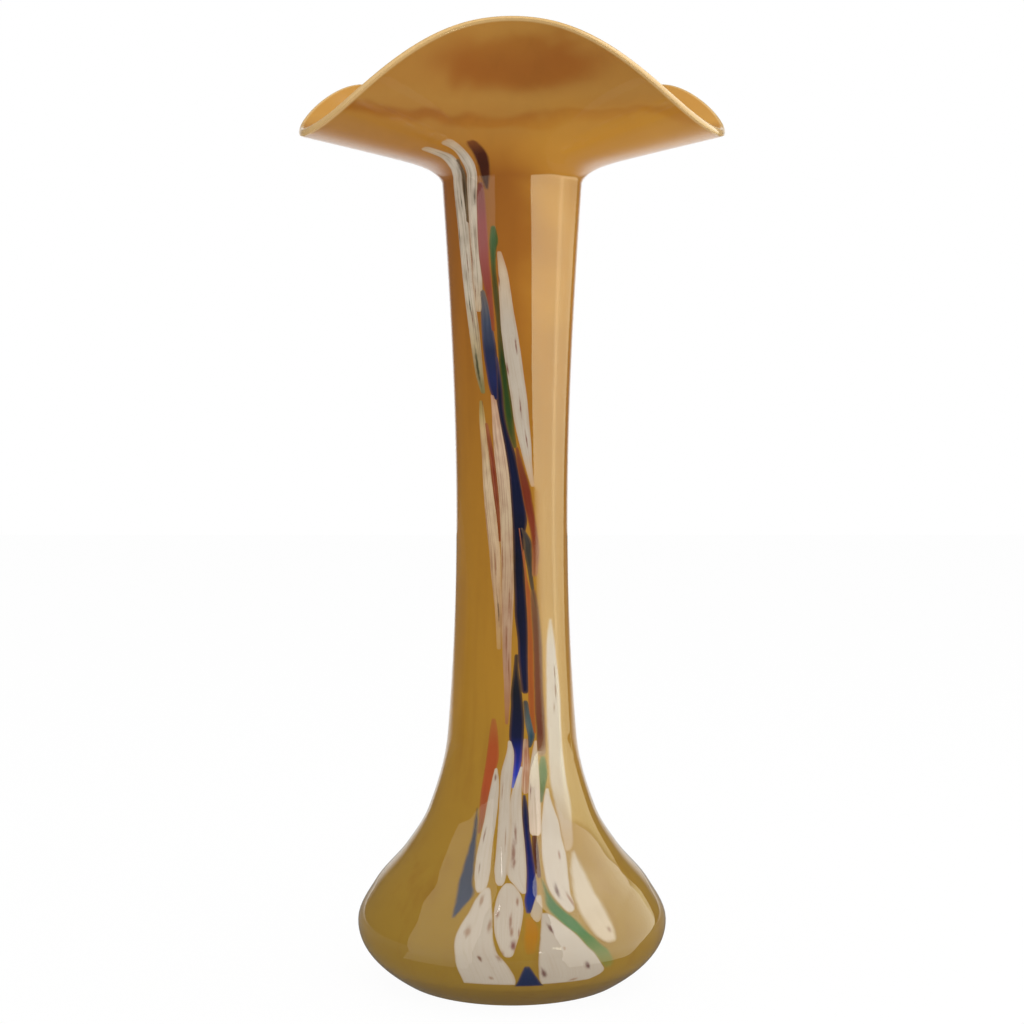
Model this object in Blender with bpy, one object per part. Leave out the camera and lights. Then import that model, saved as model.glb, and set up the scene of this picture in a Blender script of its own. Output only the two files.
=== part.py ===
# Hand blown art glass vase: an amber lining, coloured glass laid in its skin, and a clear casing.
# Metres, +Z up. The origin is the middle of the ground foot, and the front of the vase faces -Y.

import math
from collections import namedtuple
from itertools import accumulate

import bmesh
import bpy
from mathutils import Vector

# Bulb at the base. Each station's rise is measured from the station below it.
FOOT_RADIUS = 0.0445
FOOT_CURVE = 2.15
BULB_RADIUS = 0.0613
BULB_HEIGHT = 0.0219
SHOULDER_RADIUS = 0.0546
SHOULDER_RISE = 0.0141
HIP_RADIUS = 0.0426
HIP_RISE = 0.0140
THROAT_RADIUS = 0.0334
THROAT_RISE = 0.0150

# Neck. Slopes are angles above the level.
NECK_FOOT_RADIUS = 0.0257
NECK_FOOT_RISE = 0.0300
WAIST_RADIUS = 0.02225
WAIST_RISE = 0.0850
NECK_TOP_RADIUS = 0.0279
NECK_TOP_RISE = 0.1340
NECK_TOP_SLOPE = math.radians(86.1)

# Flared mouth, drawn up into lobes
FLARE_LENGTH = 0.0613
FLARE_BEND = 0.0038
LOBE_COUNT = 3
LOBE_DIP_SLOPE = math.radians(9.5)
LOBE_PEAK_SLOPE = math.radians(49.9)
FRONT_LOBE_LIFT = math.radians(10.8)
LOBE_SHIFT = math.radians(6.0)
LOBE_FULLNESS = 0.38

# Glass walls, at the bulb and at the lip
CASING_WALL_BULB = 0.0030
CASING_WALL_LIP = 0.0015
LINING_WALL_BULB = 0.0030
LINING_WALL_LIP = 0.0016
BASE_THICKNESS = 0.0095
LINING_FLOOR = 0.0032
BASE_CORNER = 0.0080

# Coloured glass laid in pockets in the lining's skin, with a border of amber round each outline
INLAY_SINK = 0.0004
INLAY_THICKNESS = 0.0006
INLAY_BORDER = 0.0003
INLAY_TIP = 0.0003
CLEARANCE = 0.0003
CUTTER_PROUD = 0.0010

# Finish of the glass
CASING_ROUGHNESS = 0.03
LINING_ROUGHNESS = 0.12
INLAY_ROUGHNESS = 0.15
GLASS_INDEX = 1.5

# Fineness of the meshes
SEGMENTS = 36
CORNER_STEPS = 4
STATION_STEPS = (3, 2, 2, 2, 2, 3)
FLARE_STEPS = 7
FLARE_GRADING = 1.8
FLARE_SLICES = 24
LIP_STEPS = 3
INLAY_STEPS = 2
INLAY_COLUMN = 12.0
PROBE = 0.001
SHARP_EDGE = math.radians(35.0)

# Places along the wall: -1 the edge of the floor, 0 the bulb, 1 the top of the neck, 2 the lip
FLOOR_EDGE = -1.0
BULB = 0.0
NECK_TOP = 1.0
LIP = 2.0

AMBER = (0.40, 0.17, 0.025)
CLEAR = (0.92, 0.88, 0.78)
WHITE = (0.55, 0.47, 0.38)
NAVY = (0.012, 0.014, 0.06)
COBALT = (0.03, 0.05, 0.25)
GREEN = (0.07, 0.15, 0.035)
ORANGE = (0.32, 0.07, 0.015)
MAUVE = (0.18, 0.06, 0.05)
AUBERGINE = (0.035, 0.008, 0.006)
RUST = (0.24, 0.08, 0.03)

# An inlay's stations run down the wall. Each is a place along the wall, an angle round from the front
# and a width, both in degrees, because coloured glass stretches with the wall that it lies in.
Inlay = namedtuple("Inlay", "name colour stations")
INLAYS = (
    Inlay("white_trail_outer", WHITE, (
        (1.27, -48, 4), (1.17, -49.5, 6.5), (1.07, -54, 9), (1.02, -57.5, 11), (0.97, -57.5, 12.5),
        (0.93, -54.3, 13), (0.85, -49, 13), (0.775, -41.5, 11), (0.715, -33.5, 4))),
    Inlay("white_trail_inner", WHITE, (
        (1.3, -39, 5), (1.19, -37, 6.5), (1.08, -36.5, 8), (1.03, -37.5, 9.5), (0.97, -38.8, 9.5),
        (0.905, -38.2, 8.5), (0.825, -36, 6))),
    Inlay("dark_thread", AUBERGINE, (
        (1.12, -43.5, 2.5), (1.05, -47, 4), (1.0, -49, 5), (0.97, -47, 4.5), (0.94, -46, 2.5))),
    Inlay("aubergine_trail", AUBERGINE, (
        (1.24, -27, 5), (1.14, -24, 10), (1.06, -23.8, 10), (1.01, -24, 9), (0.985, -23, 2.5))),
    Inlay("mauve_trail", MAUVE, (
        (0.99, -29, 4), (0.95, -29, 9), (0.89, -28, 10), (0.84, -22.5, 5.5), (0.815, -21.5, 3))),
    Inlay("green_trail", GREEN, (
        (0.933, -18, 3), (0.916, -17.5, 7.5), (0.874, -18, 3.5), (0.806, -14, 3.5), (0.748, -10, 6.5),
        (0.69, -4, 8), (0.66, 0, 6), (0.642, 3, 3))),
    Inlay("blue_trail", COBALT, (
        (0.847, -29.5, 3.5), (0.8, -26, 10), (0.775, -23.5, 13.5), (0.72, -17, 12.5), (0.705, -14.5, 9))),
    Inlay("white_trail_right", WHITE, (
        (0.9, -12, 2.5), (0.85, -7, 10.5), (0.79, -3, 16), (0.735, 4, 16.5), (0.675, 11, 15),
        (0.62, 19, 7.5), (0.59, 24, 2.5))),
    Inlay("white_strand_left", WHITE, (
        (0.7, -36.5, 3), (0.63, -32, 8), (0.545, -24.5, 12), (0.475, -19, 10), (0.375, -14.5, 3.5))),
    Inlay("red_thread", RUST, (
        (0.672, -30, 3), (0.63, -24, 5), (0.587, -19.5, 5), (0.545, -15.5, 3))),
    Inlay("white_strand_right", WHITE, (
        (0.698, -20.7, 3.5), (0.66, -16, 10), (0.6, -10, 13), (0.505, -6, 12.5), (0.42, -5.5, 11),
        (0.33, -5, 6.5), (0.275, -5.5, 2))),
    Inlay("navy_trail", NAVY, (
        (0.695, -13, 5.5), (0.66, -7.5, 6.5), (0.6, 3, 11.5), (0.545, 8.5, 16), (0.515, 7.5, 11.5),
        (0.42, 10.5, 13), (0.36, 12.5, 9.5), (0.315, 14, 6))),
    Inlay("slate_thread", NAVY, (
        (0.537, 19.3, 2.5), (0.515, 19.5, 5), (0.49, 19, 6.5), (0.472, 19, 4))),
    Inlay("rust_trail", RUST, (
        (0.64, 5.5, 2.5), (0.616, 10, 6.5), (0.587, 16.5, 9.5), (0.56, 20.7, 10), (0.53, 26.2, 8.5),
        (0.5, 28.7, 9.5), (0.472, 27, 7.5))),
    Inlay("orange_trail", ORANGE, (
        (0.466, 16.3, 2), (0.44, 18.7, 4.5), (0.388, 20.5, 5), (0.33, 20.5, 5.5), (0.286, 21.2, 4.5),
        (0.264, 23.3, 2))),
    Inlay("mauve_brown_trail", MAUVE, (
        (0.451, 24.7, 5), (0.43, 26.5, 9), (0.375, 29.7, 10.5), (0.3, 29.7, 10.5), (0.236, 30.2, 8))),
    Inlay("navy_pool", NAVY, (
        (0.364, 5, 2), (0.317, 4.5, 10), (0.279, 5, 13), (0.255, 4.5, 12.5), (0.24, 5.8, 7.5),
        (0.214, 3.8, 4.6), (0.197, 0.8, 1.6))),
    Inlay("teal_thread", NAVY, (
        (0.303, 14.2, 3), (0.278, 16.5, 5.5), (0.259, 19.3, 5.5), (0.247, 17.8, 2))),
    Inlay("pink_thread", MAUVE, (
        (0.254, 13.7, 3), (0.238, 13.4, 5.5), (0.222, 13.2, 6.5), (0.205, 12, 5.5), (0.191, 11.5, 3))),
    Inlay("white_trail_lower_right", WHITE, (
        (0.411, 48.8, 4.5), (0.357, 49, 18), (0.3, 50, 24), (0.225, 48, 22), (0.172, 46, 18.5),
        (0.126, 40, 8), (0.118, 37.5, 3))),
    Inlay("orange_red_chip", ORANGE, (
        (0.28, -18.8, 2.5), (0.246, -18.8, 9.5), (0.227, -19.7, 10.5), (0.207, -22, 8), (0.188, -23, 6.5),
        (0.17, -23.8, 5), (0.145, -24, 2))),
    Inlay("blue_grey_chip", COBALT, (
        (0.165, -28.1, 2), (0.128, -26.5, 5), (0.088, -24.4, 8.5), (0.075, -23, 9), (0.062, -23.5, 5.5),
        (0.047, -25, 1.5))),
    Inlay("white_chip_tall_left", WHITE, (
        (0.216, -15, 1.5), (0.2, -14.8, 5.5), (0.177, -16, 8.2), (0.133, -17.3, 8.2), (0.098, -16.5, 8),
        (0.084, -15.9, 4))),
    Inlay("white_chip_tall_middle", WHITE, (
        (0.248, -2, 2), (0.238, -1.7, 5.3), (0.214, -4.5, 9.5), (0.19, -5.8, 8), (0.141, -5.8, 8),
        (0.118, -5.9, 7.5), (0.099, -6.3, 6), (0.089, -6.2, 3))),
    Inlay("white_chip_tall_right", WHITE, (
        (0.217, 8.4, 1.5), (0.202, 5.9, 4.4), (0.178, 3.3, 7.8), (0.15, 3.4, 7.8), (0.118, 3.5, 9),
        (0.098, 2.8, 9.2), (0.085, 4.7, 4), (0.08, 5.3, 2))),
    Inlay("white_chip_slim", WHITE, (
        (0.25, 24.2, 1.3), (0.227, 22, 5.5), (0.2, 20.3, 9), (0.177, 18.6, 9), (0.151, 17.3, 8),
        (0.14, 16.9, 7))),
    Inlay("aubergine_spot", AUBERGINE, (
        (0.133, 15.5, 2), (0.122, 15.2, 3.2), (0.109, 14.7, 2.7), (0.096, 14.6, 1.5))),
    Inlay("cobalt_chip", COBALT, (
        (0.184, 10.3, 1.5), (0.165, 10.3, 4), (0.118, 10.8, 4), (0.098, 10.5, 4.2), (0.082, 9.7, 4.8),
        (0.07, 8.3, 4.4), (0.058, 7.2, 1.5))),
    Inlay("green_chip_small", GREEN, (
        (0.229, 30.8, 4), (0.218, 30, 8), (0.206, 29.4, 7.4), (0.194, 27.5, 4.5), (0.178, 24.7, 1.5))),
    Inlay("white_chip_wide", WHITE, (
        (0.19, 31.5, 1.5), (0.175, 30, 6.5), (0.15, 29.5, 13.3), (0.116, 26.9, 15), (0.088, 24.4, 11.8),
        (0.074, 24, 8), (0.063, 25.2, 5.5), (0.056, 25.6, 2))),
    Inlay("white_chip_outer", WHITE, (
        (0.112, 40.5, 3), (0.098, 38.7, 9.5), (0.07, 36.2, 13.2), (0.055, 36.4, 14), (0.039, 37.5, 13),
        (0.021, 38.9, 10), (0.01, 40.5, 3.5))),
    Inlay("green_chip_long", GREEN, (
        (0.089, 16, 1.4), (0.075, 17, 3.7), (0.061, 18.6, 6.4), (0.044, 23.3, 7.5), (0.027, 28.5, 6),
        (0.006, 33, 7), (-0.25, 38.3, 7), (-0.45, 40, 3))),
    Inlay("white_chip_foot_left", WHITE, (
        (0.079, -12.4, 2), (0.054, -13.5, 9.8), (0.024, -14.5, 14.5), (0.004, -13.2, 16),
        (-0.22, -11, 19.5), (-0.5, -9.5, 20.5), (-0.85, -7.7, 16))),
    Inlay("white_chip_oval", WHITE, (
        (0.086, -1.8, 2.5), (0.077, -1.4, 9.3), (0.063, -1.3, 11.5), (0.048, -1.6, 11), (0.033, -1.8, 9),
        (0.017, -1.8, 5.5), (0.004, -1.5, 2.2))),
    Inlay("white_chip_small", WHITE, (
        (0.073, 12.8, 1.3), (0.064, 11.6, 3), (0.056, 10.9, 3.5), (0.049, 10.5, 2))),
    Inlay("orange_chip", ORANGE, (
        (0.05, 6.7, 3), (0.037, 7.8, 5.5), (0.023, 7.2, 5.2), (0.007, 6.6, 3))),
    Inlay("white_chip_foot_right", WHITE, (
        (0.053, 13.9, 1.5), (0.046, 15.2, 5.5), (0.03, 17.8, 13.3), (0.013, 19, 16.8), (-0.13, 20.6, 21),
        (-0.64, 25, 27.5), (-0.83, 23.6, 22))),
    Inlay("cobalt_chip_foot", COBALT, (
        (-0.21, 5.5, 1.3), (-0.41, 6, 5.5), (-0.95, 7, 9.5))),
)


def body_stations():
    rises = (BULB_HEIGHT, SHOULDER_RISE, HIP_RISE, THROAT_RISE, NECK_FOOT_RISE, WAIST_RISE, NECK_TOP_RISE)
    radii = (BULB_RADIUS, SHOULDER_RADIUS, HIP_RADIUS, THROAT_RADIUS)
    radii += (NECK_FOOT_RADIUS, WAIST_RADIUS, NECK_TOP_RADIUS)
    return tuple(accumulate(rises)), radii


HEIGHTS, RADII = body_stations()


def station_slopes():
    # Slopes that keep the profile from swelling between its stations. Upright at the bulb and the waist.
    slopes = [0.0]
    for index in range(1, len(HEIGHTS) - 1):
        below = HEIGHTS[index] - HEIGHTS[index - 1]
        above = HEIGHTS[index + 1] - HEIGHTS[index]
        fall = (RADII[index] - RADII[index - 1]) / below
        rise = (RADII[index + 1] - RADII[index]) / above
        if fall * rise <= 0.0:
            slopes.append(0.0)
            continue
        weight = (2.0 * above + below) / fall + (above + 2.0 * below) / rise
        slopes.append(3.0 * (below + above) / weight)
    slopes.append(1.0 / math.tan(NECK_TOP_SLOPE))
    return tuple(slopes)


SLOPES = station_slopes()


def body_radius(height):
    index = 0
    while index < len(HEIGHTS) - 2 and height > HEIGHTS[index + 1]:
        index += 1
    span = HEIGHTS[index + 1] - HEIGHTS[index]
    t = (height - HEIGHTS[index]) / span
    start = (2.0 * t**3 - 3.0 * t**2 + 1.0) * RADII[index] + (t**3 - 2.0 * t**2 + t) * span * SLOPES[index]
    end = (3.0 * t**2 - 2.0 * t**3) * RADII[index + 1] + (t**3 - t**2) * span * SLOPES[index + 1]
    return start + end


def mouth_slope(angle):
    turned = angle - LOBE_SHIFT * math.sin(angle)
    wave = 0.5 + 0.5 * math.cos(LOBE_COUNT * turned)
    wave += LOBE_FULLNESS * (wave * wave * (3.0 - 2.0 * wave) - wave)
    peak = LOBE_PEAK_SLOPE + FRONT_LOBE_LIFT * math.cos(angle)
    return LOBE_DIP_SLOPE + (peak - LOBE_DIP_SLOPE) * wave


def flare_profile(length, angle):
    mouth = mouth_slope(angle)
    step = length / FLARE_SLICES
    radius = RADII[-1]
    height = HEIGHTS[-1]
    for index in range(FLARE_SLICES):
        slope = mouth + (NECK_TOP_SLOPE - mouth) * math.exp(-(index + 0.5) * step / FLARE_BEND)
        radius += math.cos(slope) * step
        height += math.sin(slope) * step
    return radius, height


def outer_profile(place, angle):
    if place < BULB:
        drop = -place
        radius = BULB_RADIUS - (BULB_RADIUS - FOOT_RADIUS) * drop**FOOT_CURVE
        return radius, BULB_HEIGHT * (1.0 - drop)
    if place <= NECK_TOP:
        height = HEIGHTS[0] + place * (HEIGHTS[-1] - HEIGHTS[0])
        return body_radius(height), height
    return flare_profile((place - NECK_TOP) * FLARE_LENGTH, angle)


def turned_point(radius, height, angle):
    return Vector((radius * math.sin(angle), -radius * math.cos(angle), height))


def outer_point(place, angle):
    return turned_point(*outer_profile(place, angle), angle)


def outer_normal(place, angle):
    along = outer_point(place + PROBE, angle) - outer_point(place - PROBE, angle)
    around = outer_point(place, angle + PROBE) - outer_point(place, angle - PROBE)
    return around.cross(along).normalized()


def tapered_wall(place, bulb_wall, lip_wall):
    share = min(max(place / LIP, 0.0), 1.0)
    return bulb_wall + (lip_wall - bulb_wall) * share


def casing_wall(place):
    return tapered_wall(place, CASING_WALL_BULB, CASING_WALL_LIP)


def lining_skin(place):
    return casing_wall(place) + CLEARANCE


def lining_inside(place):
    return lining_skin(place) + tapered_wall(place, LINING_WALL_BULB, LINING_WALL_LIP)


def cavity_point(place, angle, depth, floor):
    # Above the bulb the wall runs parallel to the outside. Below it, a rounded corner meets a flat floor.
    if place >= BULB:
        return outer_point(place, angle) - depth * outer_normal(place, angle)
    turn = -place * math.pi / 2.0
    radius = BULB_RADIUS - depth - BASE_CORNER * (1.0 - math.cos(turn))
    height = BULB_HEIGHT - (BULB_HEIGHT - floor) * math.sin(turn)
    return turned_point(radius, height, angle)


def casing_inner_point(place, angle):
    return cavity_point(place, angle, casing_wall(place), BASE_THICKNESS)


def lining_point(place, angle, below_skin=0.0):
    floor = BASE_THICKNESS + CLEARANCE + below_skin
    return cavity_point(place, angle, lining_skin(place) + below_skin, floor)


def lining_inner_point(place, angle):
    floor = BASE_THICKNESS + CLEARANCE + LINING_FLOOR
    return cavity_point(place, angle, lining_inside(place), floor)


def lip_place(depth):
    # The lip is half round over both walls together.
    round_radius = lining_inside(LIP) / 2.0
    across = min(abs(depth - round_radius), round_radius)
    setback = round_radius - math.sqrt(round_radius**2 - across**2)
    return LIP - setback / FLARE_LENGTH


def body_places():
    places = []
    height_range = HEIGHTS[-1] - HEIGHTS[0]
    for index, steps in enumerate(STATION_STEPS):
        for step in range(steps):
            height = HEIGHTS[index] + (HEIGHTS[index + 1] - HEIGHTS[index]) * step / steps
            places.append((height - HEIGHTS[0]) / height_range)
    return places


def wall_places(last):
    corner = [FLOOR_EDGE * (1.0 - step / CORNER_STEPS) for step in range(CORNER_STEPS)]
    shares = [(step / FLARE_STEPS) ** FLARE_GRADING for step in range(FLARE_STEPS + 1)]
    flare = [NECK_TOP + (last - NECK_TOP) * share for share in shares]
    return corner + body_places() + flare


def lip_row(depth):
    place = lip_place(depth)
    return lambda angle: outer_point(place, angle) - depth * outer_normal(place, angle)


def lip_depths(outer, inner):
    return [outer + (inner - outer) * step / (LIP_STEPS + 1) for step in range(1, LIP_STEPS + 1)]


def shell_mesh(name, outside, inside, outer_depth, inner_depth):
    # Rings run from the middle of the underside, up the outside, over the lip and down to the inner floor.
    outer_places = wall_places(lip_place(outer_depth))
    inner_places = wall_places(lip_place(inner_depth))
    climb = [lambda angle, p=place: outside(p, angle) for place in outer_places]
    climb += [lip_row(depth) for depth in lip_depths(outer_depth, inner_depth)]
    descent = [lambda angle, p=place: inside(p, angle) for place in reversed(inner_places)]
    mesh = bmesh.new()
    turns = [2.0 * math.pi * index / SEGMENTS for index in range(SEGMENTS)]
    rings = [[mesh.verts.new(row(turn)) for turn in turns] for row in climb + descent]
    under = mesh.verts.new((0.0, 0.0, rings[0][0].co.z))
    floor = mesh.verts.new((0.0, 0.0, rings[-1][0].co.z))
    for index in range(SEGMENTS):
        following = (index + 1) % SEGMENTS
        mesh.faces.new((under, rings[0][following], rings[0][index]))
        mesh.faces.new((floor, rings[-1][index], rings[-1][following]))
        for level in range(len(rings) - 1):
            start = rings[level]
            end = rings[level + 1]
            corners = (start[index], start[following], end[following], end[index])
            split_quad(mesh, corners, level < len(climb))
    return finished_mesh(mesh, name)


def split_quad(mesh, corners, climbing):
    # Walls that lie one in the other are split along the same diagonal, so that their gap stays even.
    first, second, third, fourth = corners
    if climbing:
        mesh.faces.new((first, second, third))
        mesh.faces.new((first, third, fourth))
    else:
        mesh.faces.new((first, second, fourth))
        mesh.faces.new((second, third, fourth))


def finished_mesh(mesh, name):
    data = bpy.data.meshes.new(name)
    mesh.to_mesh(data)
    mesh.free()
    data.shade_smooth()
    data.set_sharp_from_angle(angle=SHARP_EDGE)
    return data


def glass(name, colour, roughness, transmission):
    material = bpy.data.materials.new(name)
    material.use_nodes = True
    shader = material.node_tree.nodes["Principled BSDF"]
    shader.inputs["Base Color"].default_value = (*colour, 1.0)
    shader.inputs["Roughness"].default_value = roughness
    shader.inputs["Metallic"].default_value = 0.0
    shader.inputs["Transmission Weight"].default_value = transmission
    shader.inputs["IOR"].default_value = GLASS_INDEX
    return material


def place_object(name, data, vase, material=None):
    item = bpy.data.objects.new(name, data)
    bpy.context.scene.collection.objects.link(item)
    item.parent = vase
    if material:
        data.materials.append(material)
    return item


def wall_speed(place, angle):
    ahead = lining_point(place + PROBE, angle)
    return (ahead - lining_point(place - PROBE, angle)).length / (2.0 * PROBE)


def wall_radius(place, angle):
    point = lining_point(place, angle)
    return math.hypot(point.x, point.y)


def eased(values, share):
    # A smooth run through the station values, by a spline that passes through each of them.
    index = min(int(share), len(values) - 2)
    t = share - index
    before = values[max(index - 1, 0)]
    start = values[index]
    end = values[index + 1]
    after = values[min(index + 2, len(values) - 1)]
    curve = 2.0 * start + (end - before) * t
    curve += (2.0 * before - 5.0 * start + 4.0 * end - after) * t**2
    curve += (3.0 * start - before - 3.0 * end + after) * t**3
    return curve / 2.0


def between(values, share):
    index = min(int(share), len(values) - 2)
    return values[index] + (values[index + 1] - values[index]) * (share - index)


def inlay_edges(inlay, margin):
    # Places along the wall with the outline's left and right angles, drawn in by the border.
    places, angles, widths = zip(*inlay.stations)
    edges = []
    for sample in range((len(places) - 1) * INLAY_STEPS + 1):
        share = sample / INLAY_STEPS
        place = between(places, share)
        angle = math.radians(eased(angles, share))
        radius = wall_radius(place, angle)
        half = math.radians(max(eased(widths, share), min(widths))) * radius / 2.0
        turn = (max(half - INLAY_BORDER, INLAY_TIP) + margin) / radius
        edges.append([place, angle - turn, angle + turn])
    for edge, way in ((edges[0], 1.0), (edges[-1], -1.0)):
        middle = (edge[1] + edge[2]) / 2.0
        edge[0] += way * (margin - INLAY_BORDER) / wall_speed(edge[0], middle)
    return edges[::-1]


def inlay_mesh(inlay, name, top, bottom, margin):
    edges = inlay_edges(inlay, margin)
    columns = max(1, math.ceil(max(station[2] for station in inlay.stations) / INLAY_COLUMN))
    mesh = bmesh.new()
    layers = []
    for depth in (top, bottom):
        layer = []
        for place, left, right in edges:
            turns = [left + (right - left) * column / columns for column in range(columns + 1)]
            layer.append([mesh.verts.new(lining_point(place, turn, depth)) for turn in turns])
        layers.append(layer)
    skin, bed = layers
    for row in range(len(edges) - 1):
        for column in range(columns):
            split_quad(mesh, patch(skin, row, row + 1, column), True)
            split_quad(mesh, patch(bed, row + 1, row, column), False)
    rim = outline(skin)
    base = outline(bed)
    for index in range(len(rim)):
        mesh.faces.new((rim[index - 1], base[index - 1], base[index], rim[index]))
    return finished_mesh(mesh, name)


def patch(layer, start, end, column):
    return layer[start][column], layer[start][column + 1], layer[end][column + 1], layer[end][column]


def outline(layer):
    right = [row[-1] for row in layer[1:-1]]
    left = [row[0] for row in layer[1:-1]]
    return layer[0] + right + layer[-1][::-1] + left[::-1]


def make_inlay(inlay, lining, vase):
    bottom = INLAY_SINK + INLAY_THICKNESS
    solid = inlay_mesh(inlay, inlay.name, INLAY_SINK, bottom, -CLEARANCE / 2.0)
    place_object(inlay.name, solid, vase, glass(inlay.name, inlay.colour, INLAY_ROUGHNESS, 0.0))
    pocket_name = inlay.name + "_pocket"
    pocket = inlay_mesh(inlay, pocket_name, -CUTTER_PROUD, bottom + CLEARANCE, CLEARANCE / 2.0)
    cutter = place_object(pocket_name, pocket, vase)
    cutter.hide_render = True
    cutter.display_type = "WIRE"
    cut = lining.modifiers.new(inlay.name, "BOOLEAN")
    cut.operation = "DIFFERENCE"
    cut.solver = "EXACT"
    cut.object = cutter


def make_casing(vase):
    data = shell_mesh("clear_casing", outer_point, casing_inner_point, 0.0, casing_wall(LIP))
    return place_object("clear_casing", data, vase, glass("clear_casing", CLEAR, CASING_ROUGHNESS, 1.0))


def make_lining(vase):
    skin = lining_skin(LIP)
    data = shell_mesh("amber_lining", lining_point, lining_inner_point, skin, lining_inside(LIP))
    return place_object("amber_lining", data, vase, glass("amber_lining", AMBER, LINING_ROUGHNESS, 0.0))


def main():
    for item in list(bpy.data.objects):
        bpy.data.objects.remove(item)
    vase = bpy.data.objects.new("vase", None)
    bpy.context.scene.collection.objects.link(vase)
    make_casing(vase)
    lining = make_lining(vase)
    for inlay in INLAYS:
        make_inlay(inlay, lining, vase)


main()
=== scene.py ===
import math

import bpy
import numpy as np
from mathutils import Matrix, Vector


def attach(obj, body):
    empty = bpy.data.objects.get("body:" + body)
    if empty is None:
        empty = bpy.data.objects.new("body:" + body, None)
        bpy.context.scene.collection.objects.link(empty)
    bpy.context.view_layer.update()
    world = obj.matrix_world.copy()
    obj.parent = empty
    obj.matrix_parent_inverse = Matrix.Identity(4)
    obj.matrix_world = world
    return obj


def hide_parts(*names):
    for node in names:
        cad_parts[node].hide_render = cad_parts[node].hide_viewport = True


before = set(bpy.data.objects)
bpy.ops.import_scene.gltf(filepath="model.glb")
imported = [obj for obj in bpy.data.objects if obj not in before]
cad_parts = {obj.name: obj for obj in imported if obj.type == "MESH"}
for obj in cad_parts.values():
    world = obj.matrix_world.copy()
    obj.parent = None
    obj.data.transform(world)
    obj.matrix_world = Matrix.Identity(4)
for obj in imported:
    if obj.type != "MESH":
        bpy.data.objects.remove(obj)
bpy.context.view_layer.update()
print("frame loaded:", len(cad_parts), "nodes")


# Colours are written as they look on screen, 0 to 255
def tint(red, green, blue):
    levels = [value / 255.0 for value in (red, green, blue)]
    return [v / 12.92 if v <= 0.04045 else ((v + 0.055) / 1.055) ** 2.4 for v in levels] + [1.0]


# A value in a node tree, so that sums and products of nodes are written as such
class Wire:
    def __init__(self, socket):
        self.tree = socket.id_data
        self.socket = socket

    def math(self, operation, *others):
        return addNode(self.tree, "ShaderNodeMath", enumerate((self, *others)), operation=operation)

    def vectorMath(self, operation, *others, output="Vector"):
        inputs = enumerate((self, *others))
        return addNode(self.tree, "ShaderNodeVectorMath", inputs, output, operation=operation)

    def __add__(self, other):
        return self.math("ADD", other)

    def __sub__(self, other):
        return self.math("SUBTRACT", other)

    def __rsub__(self, other):
        return addNode(self.tree, "ShaderNodeMath", {0: other, 1: self}, operation="SUBTRACT")

    def __mul__(self, other):
        return self.math("MULTIPLY", other)

    def __truediv__(self, other):
        return self.math("DIVIDE", other)

    def fade(self, first, last, low=0.0, high=1.0, kind="SMOOTHSTEP"):
        inputs = {"Value": self, "From Min": first, "From Max": last, "To Min": low, "To Max": high}
        return addNode(self.tree, "ShaderNodeMapRange", inputs, interpolation_type=kind)

    def noise(self, scale, detail, twist=0.0):
        spread = self.vectorMath("MULTIPLY", scale)
        inputs = {"Vector": spread, "Scale": 1.0, "Detail": detail, "Distortion": twist}
        return addNode(self.tree, "ShaderNodeTexNoise", inputs, "Fac")

    def mixed(self, share, color):
        return addNode(self.tree, "ShaderNodeMix", {0: share, 6: self, 7: color}, 2, data_type="RGBA")

    def ramp(self, stops):
        node = newNode(self.tree, "ShaderNodeValToRGB", {"Fac": self})
        elements = node.color_ramp.elements
        while len(elements) < len(stops):
            elements.new(0.5)
        for element, (position, color) in zip(elements, stops):
            element.position = position
            element.color = tint(*color)
        return Wire(node.outputs["Color"])


# Node helpers: a wire is linked and any other value goes on the socket itself
def feed(socket, value):
    if isinstance(value, Wire):
        value.tree.links.new(value.socket, socket)
    else:
        socket.default_value = value


def setInputs(node, inputs):
    for label, value in dict(inputs).items():
        feed(node.inputs[label], value)


def newNode(tree, kind, inputs=(), **settings):
    node = tree.nodes.new(kind)
    for label, value in settings.items():
        setattr(node, label, value)
    setInputs(node, inputs)
    return node


def addNode(tree, kind, inputs=(), output=0, **settings):
    return Wire(newNode(tree, kind, inputs, **settings).outputs[output])


def wires(node):
    return {socket.name: Wire(socket) for socket in node.outputs}


def attribute(tree, label, output="Fac"):
    return addNode(tree, "ShaderNodeAttribute", (), output, attribute_name=label)


def coordinates(tree, kind="Object"):
    where = addNode(tree, "ShaderNodeTexCoord", (), kind)
    return where, wires(newNode(tree, "ShaderNodeSeparateXYZ", {0: where}))


# A point about the axis from its distance, its turn from the front and its height
def polarPoint(reach, turn, height):
    place = {"X": reach * turn.math("SINE"), "Y": reach * turn.math("COSINE") * -1.0, "Z": height}
    return addNode(reach.tree, "ShaderNodeCombineXYZ", place)


def newGroup(name, kind, inputs, outputs):
    tree = bpy.data.node_groups.new(name, kind)
    for side, sockets in (("INPUT", inputs), ("OUTPUT", outputs)):
        for label, socketType in sockets:
            tree.interface.new_socket(name=label, in_out=side, socket_type="NodeSocket" + socketType)
    return tree, wires(newNode(tree, "NodeGroupInput")), newNode(tree, "NodeGroupOutput").inputs


def addObject(name, data):
    piece = bpy.data.objects.new(name, data)
    bpy.context.scene.collection.objects.link(piece)
    return piece


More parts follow.
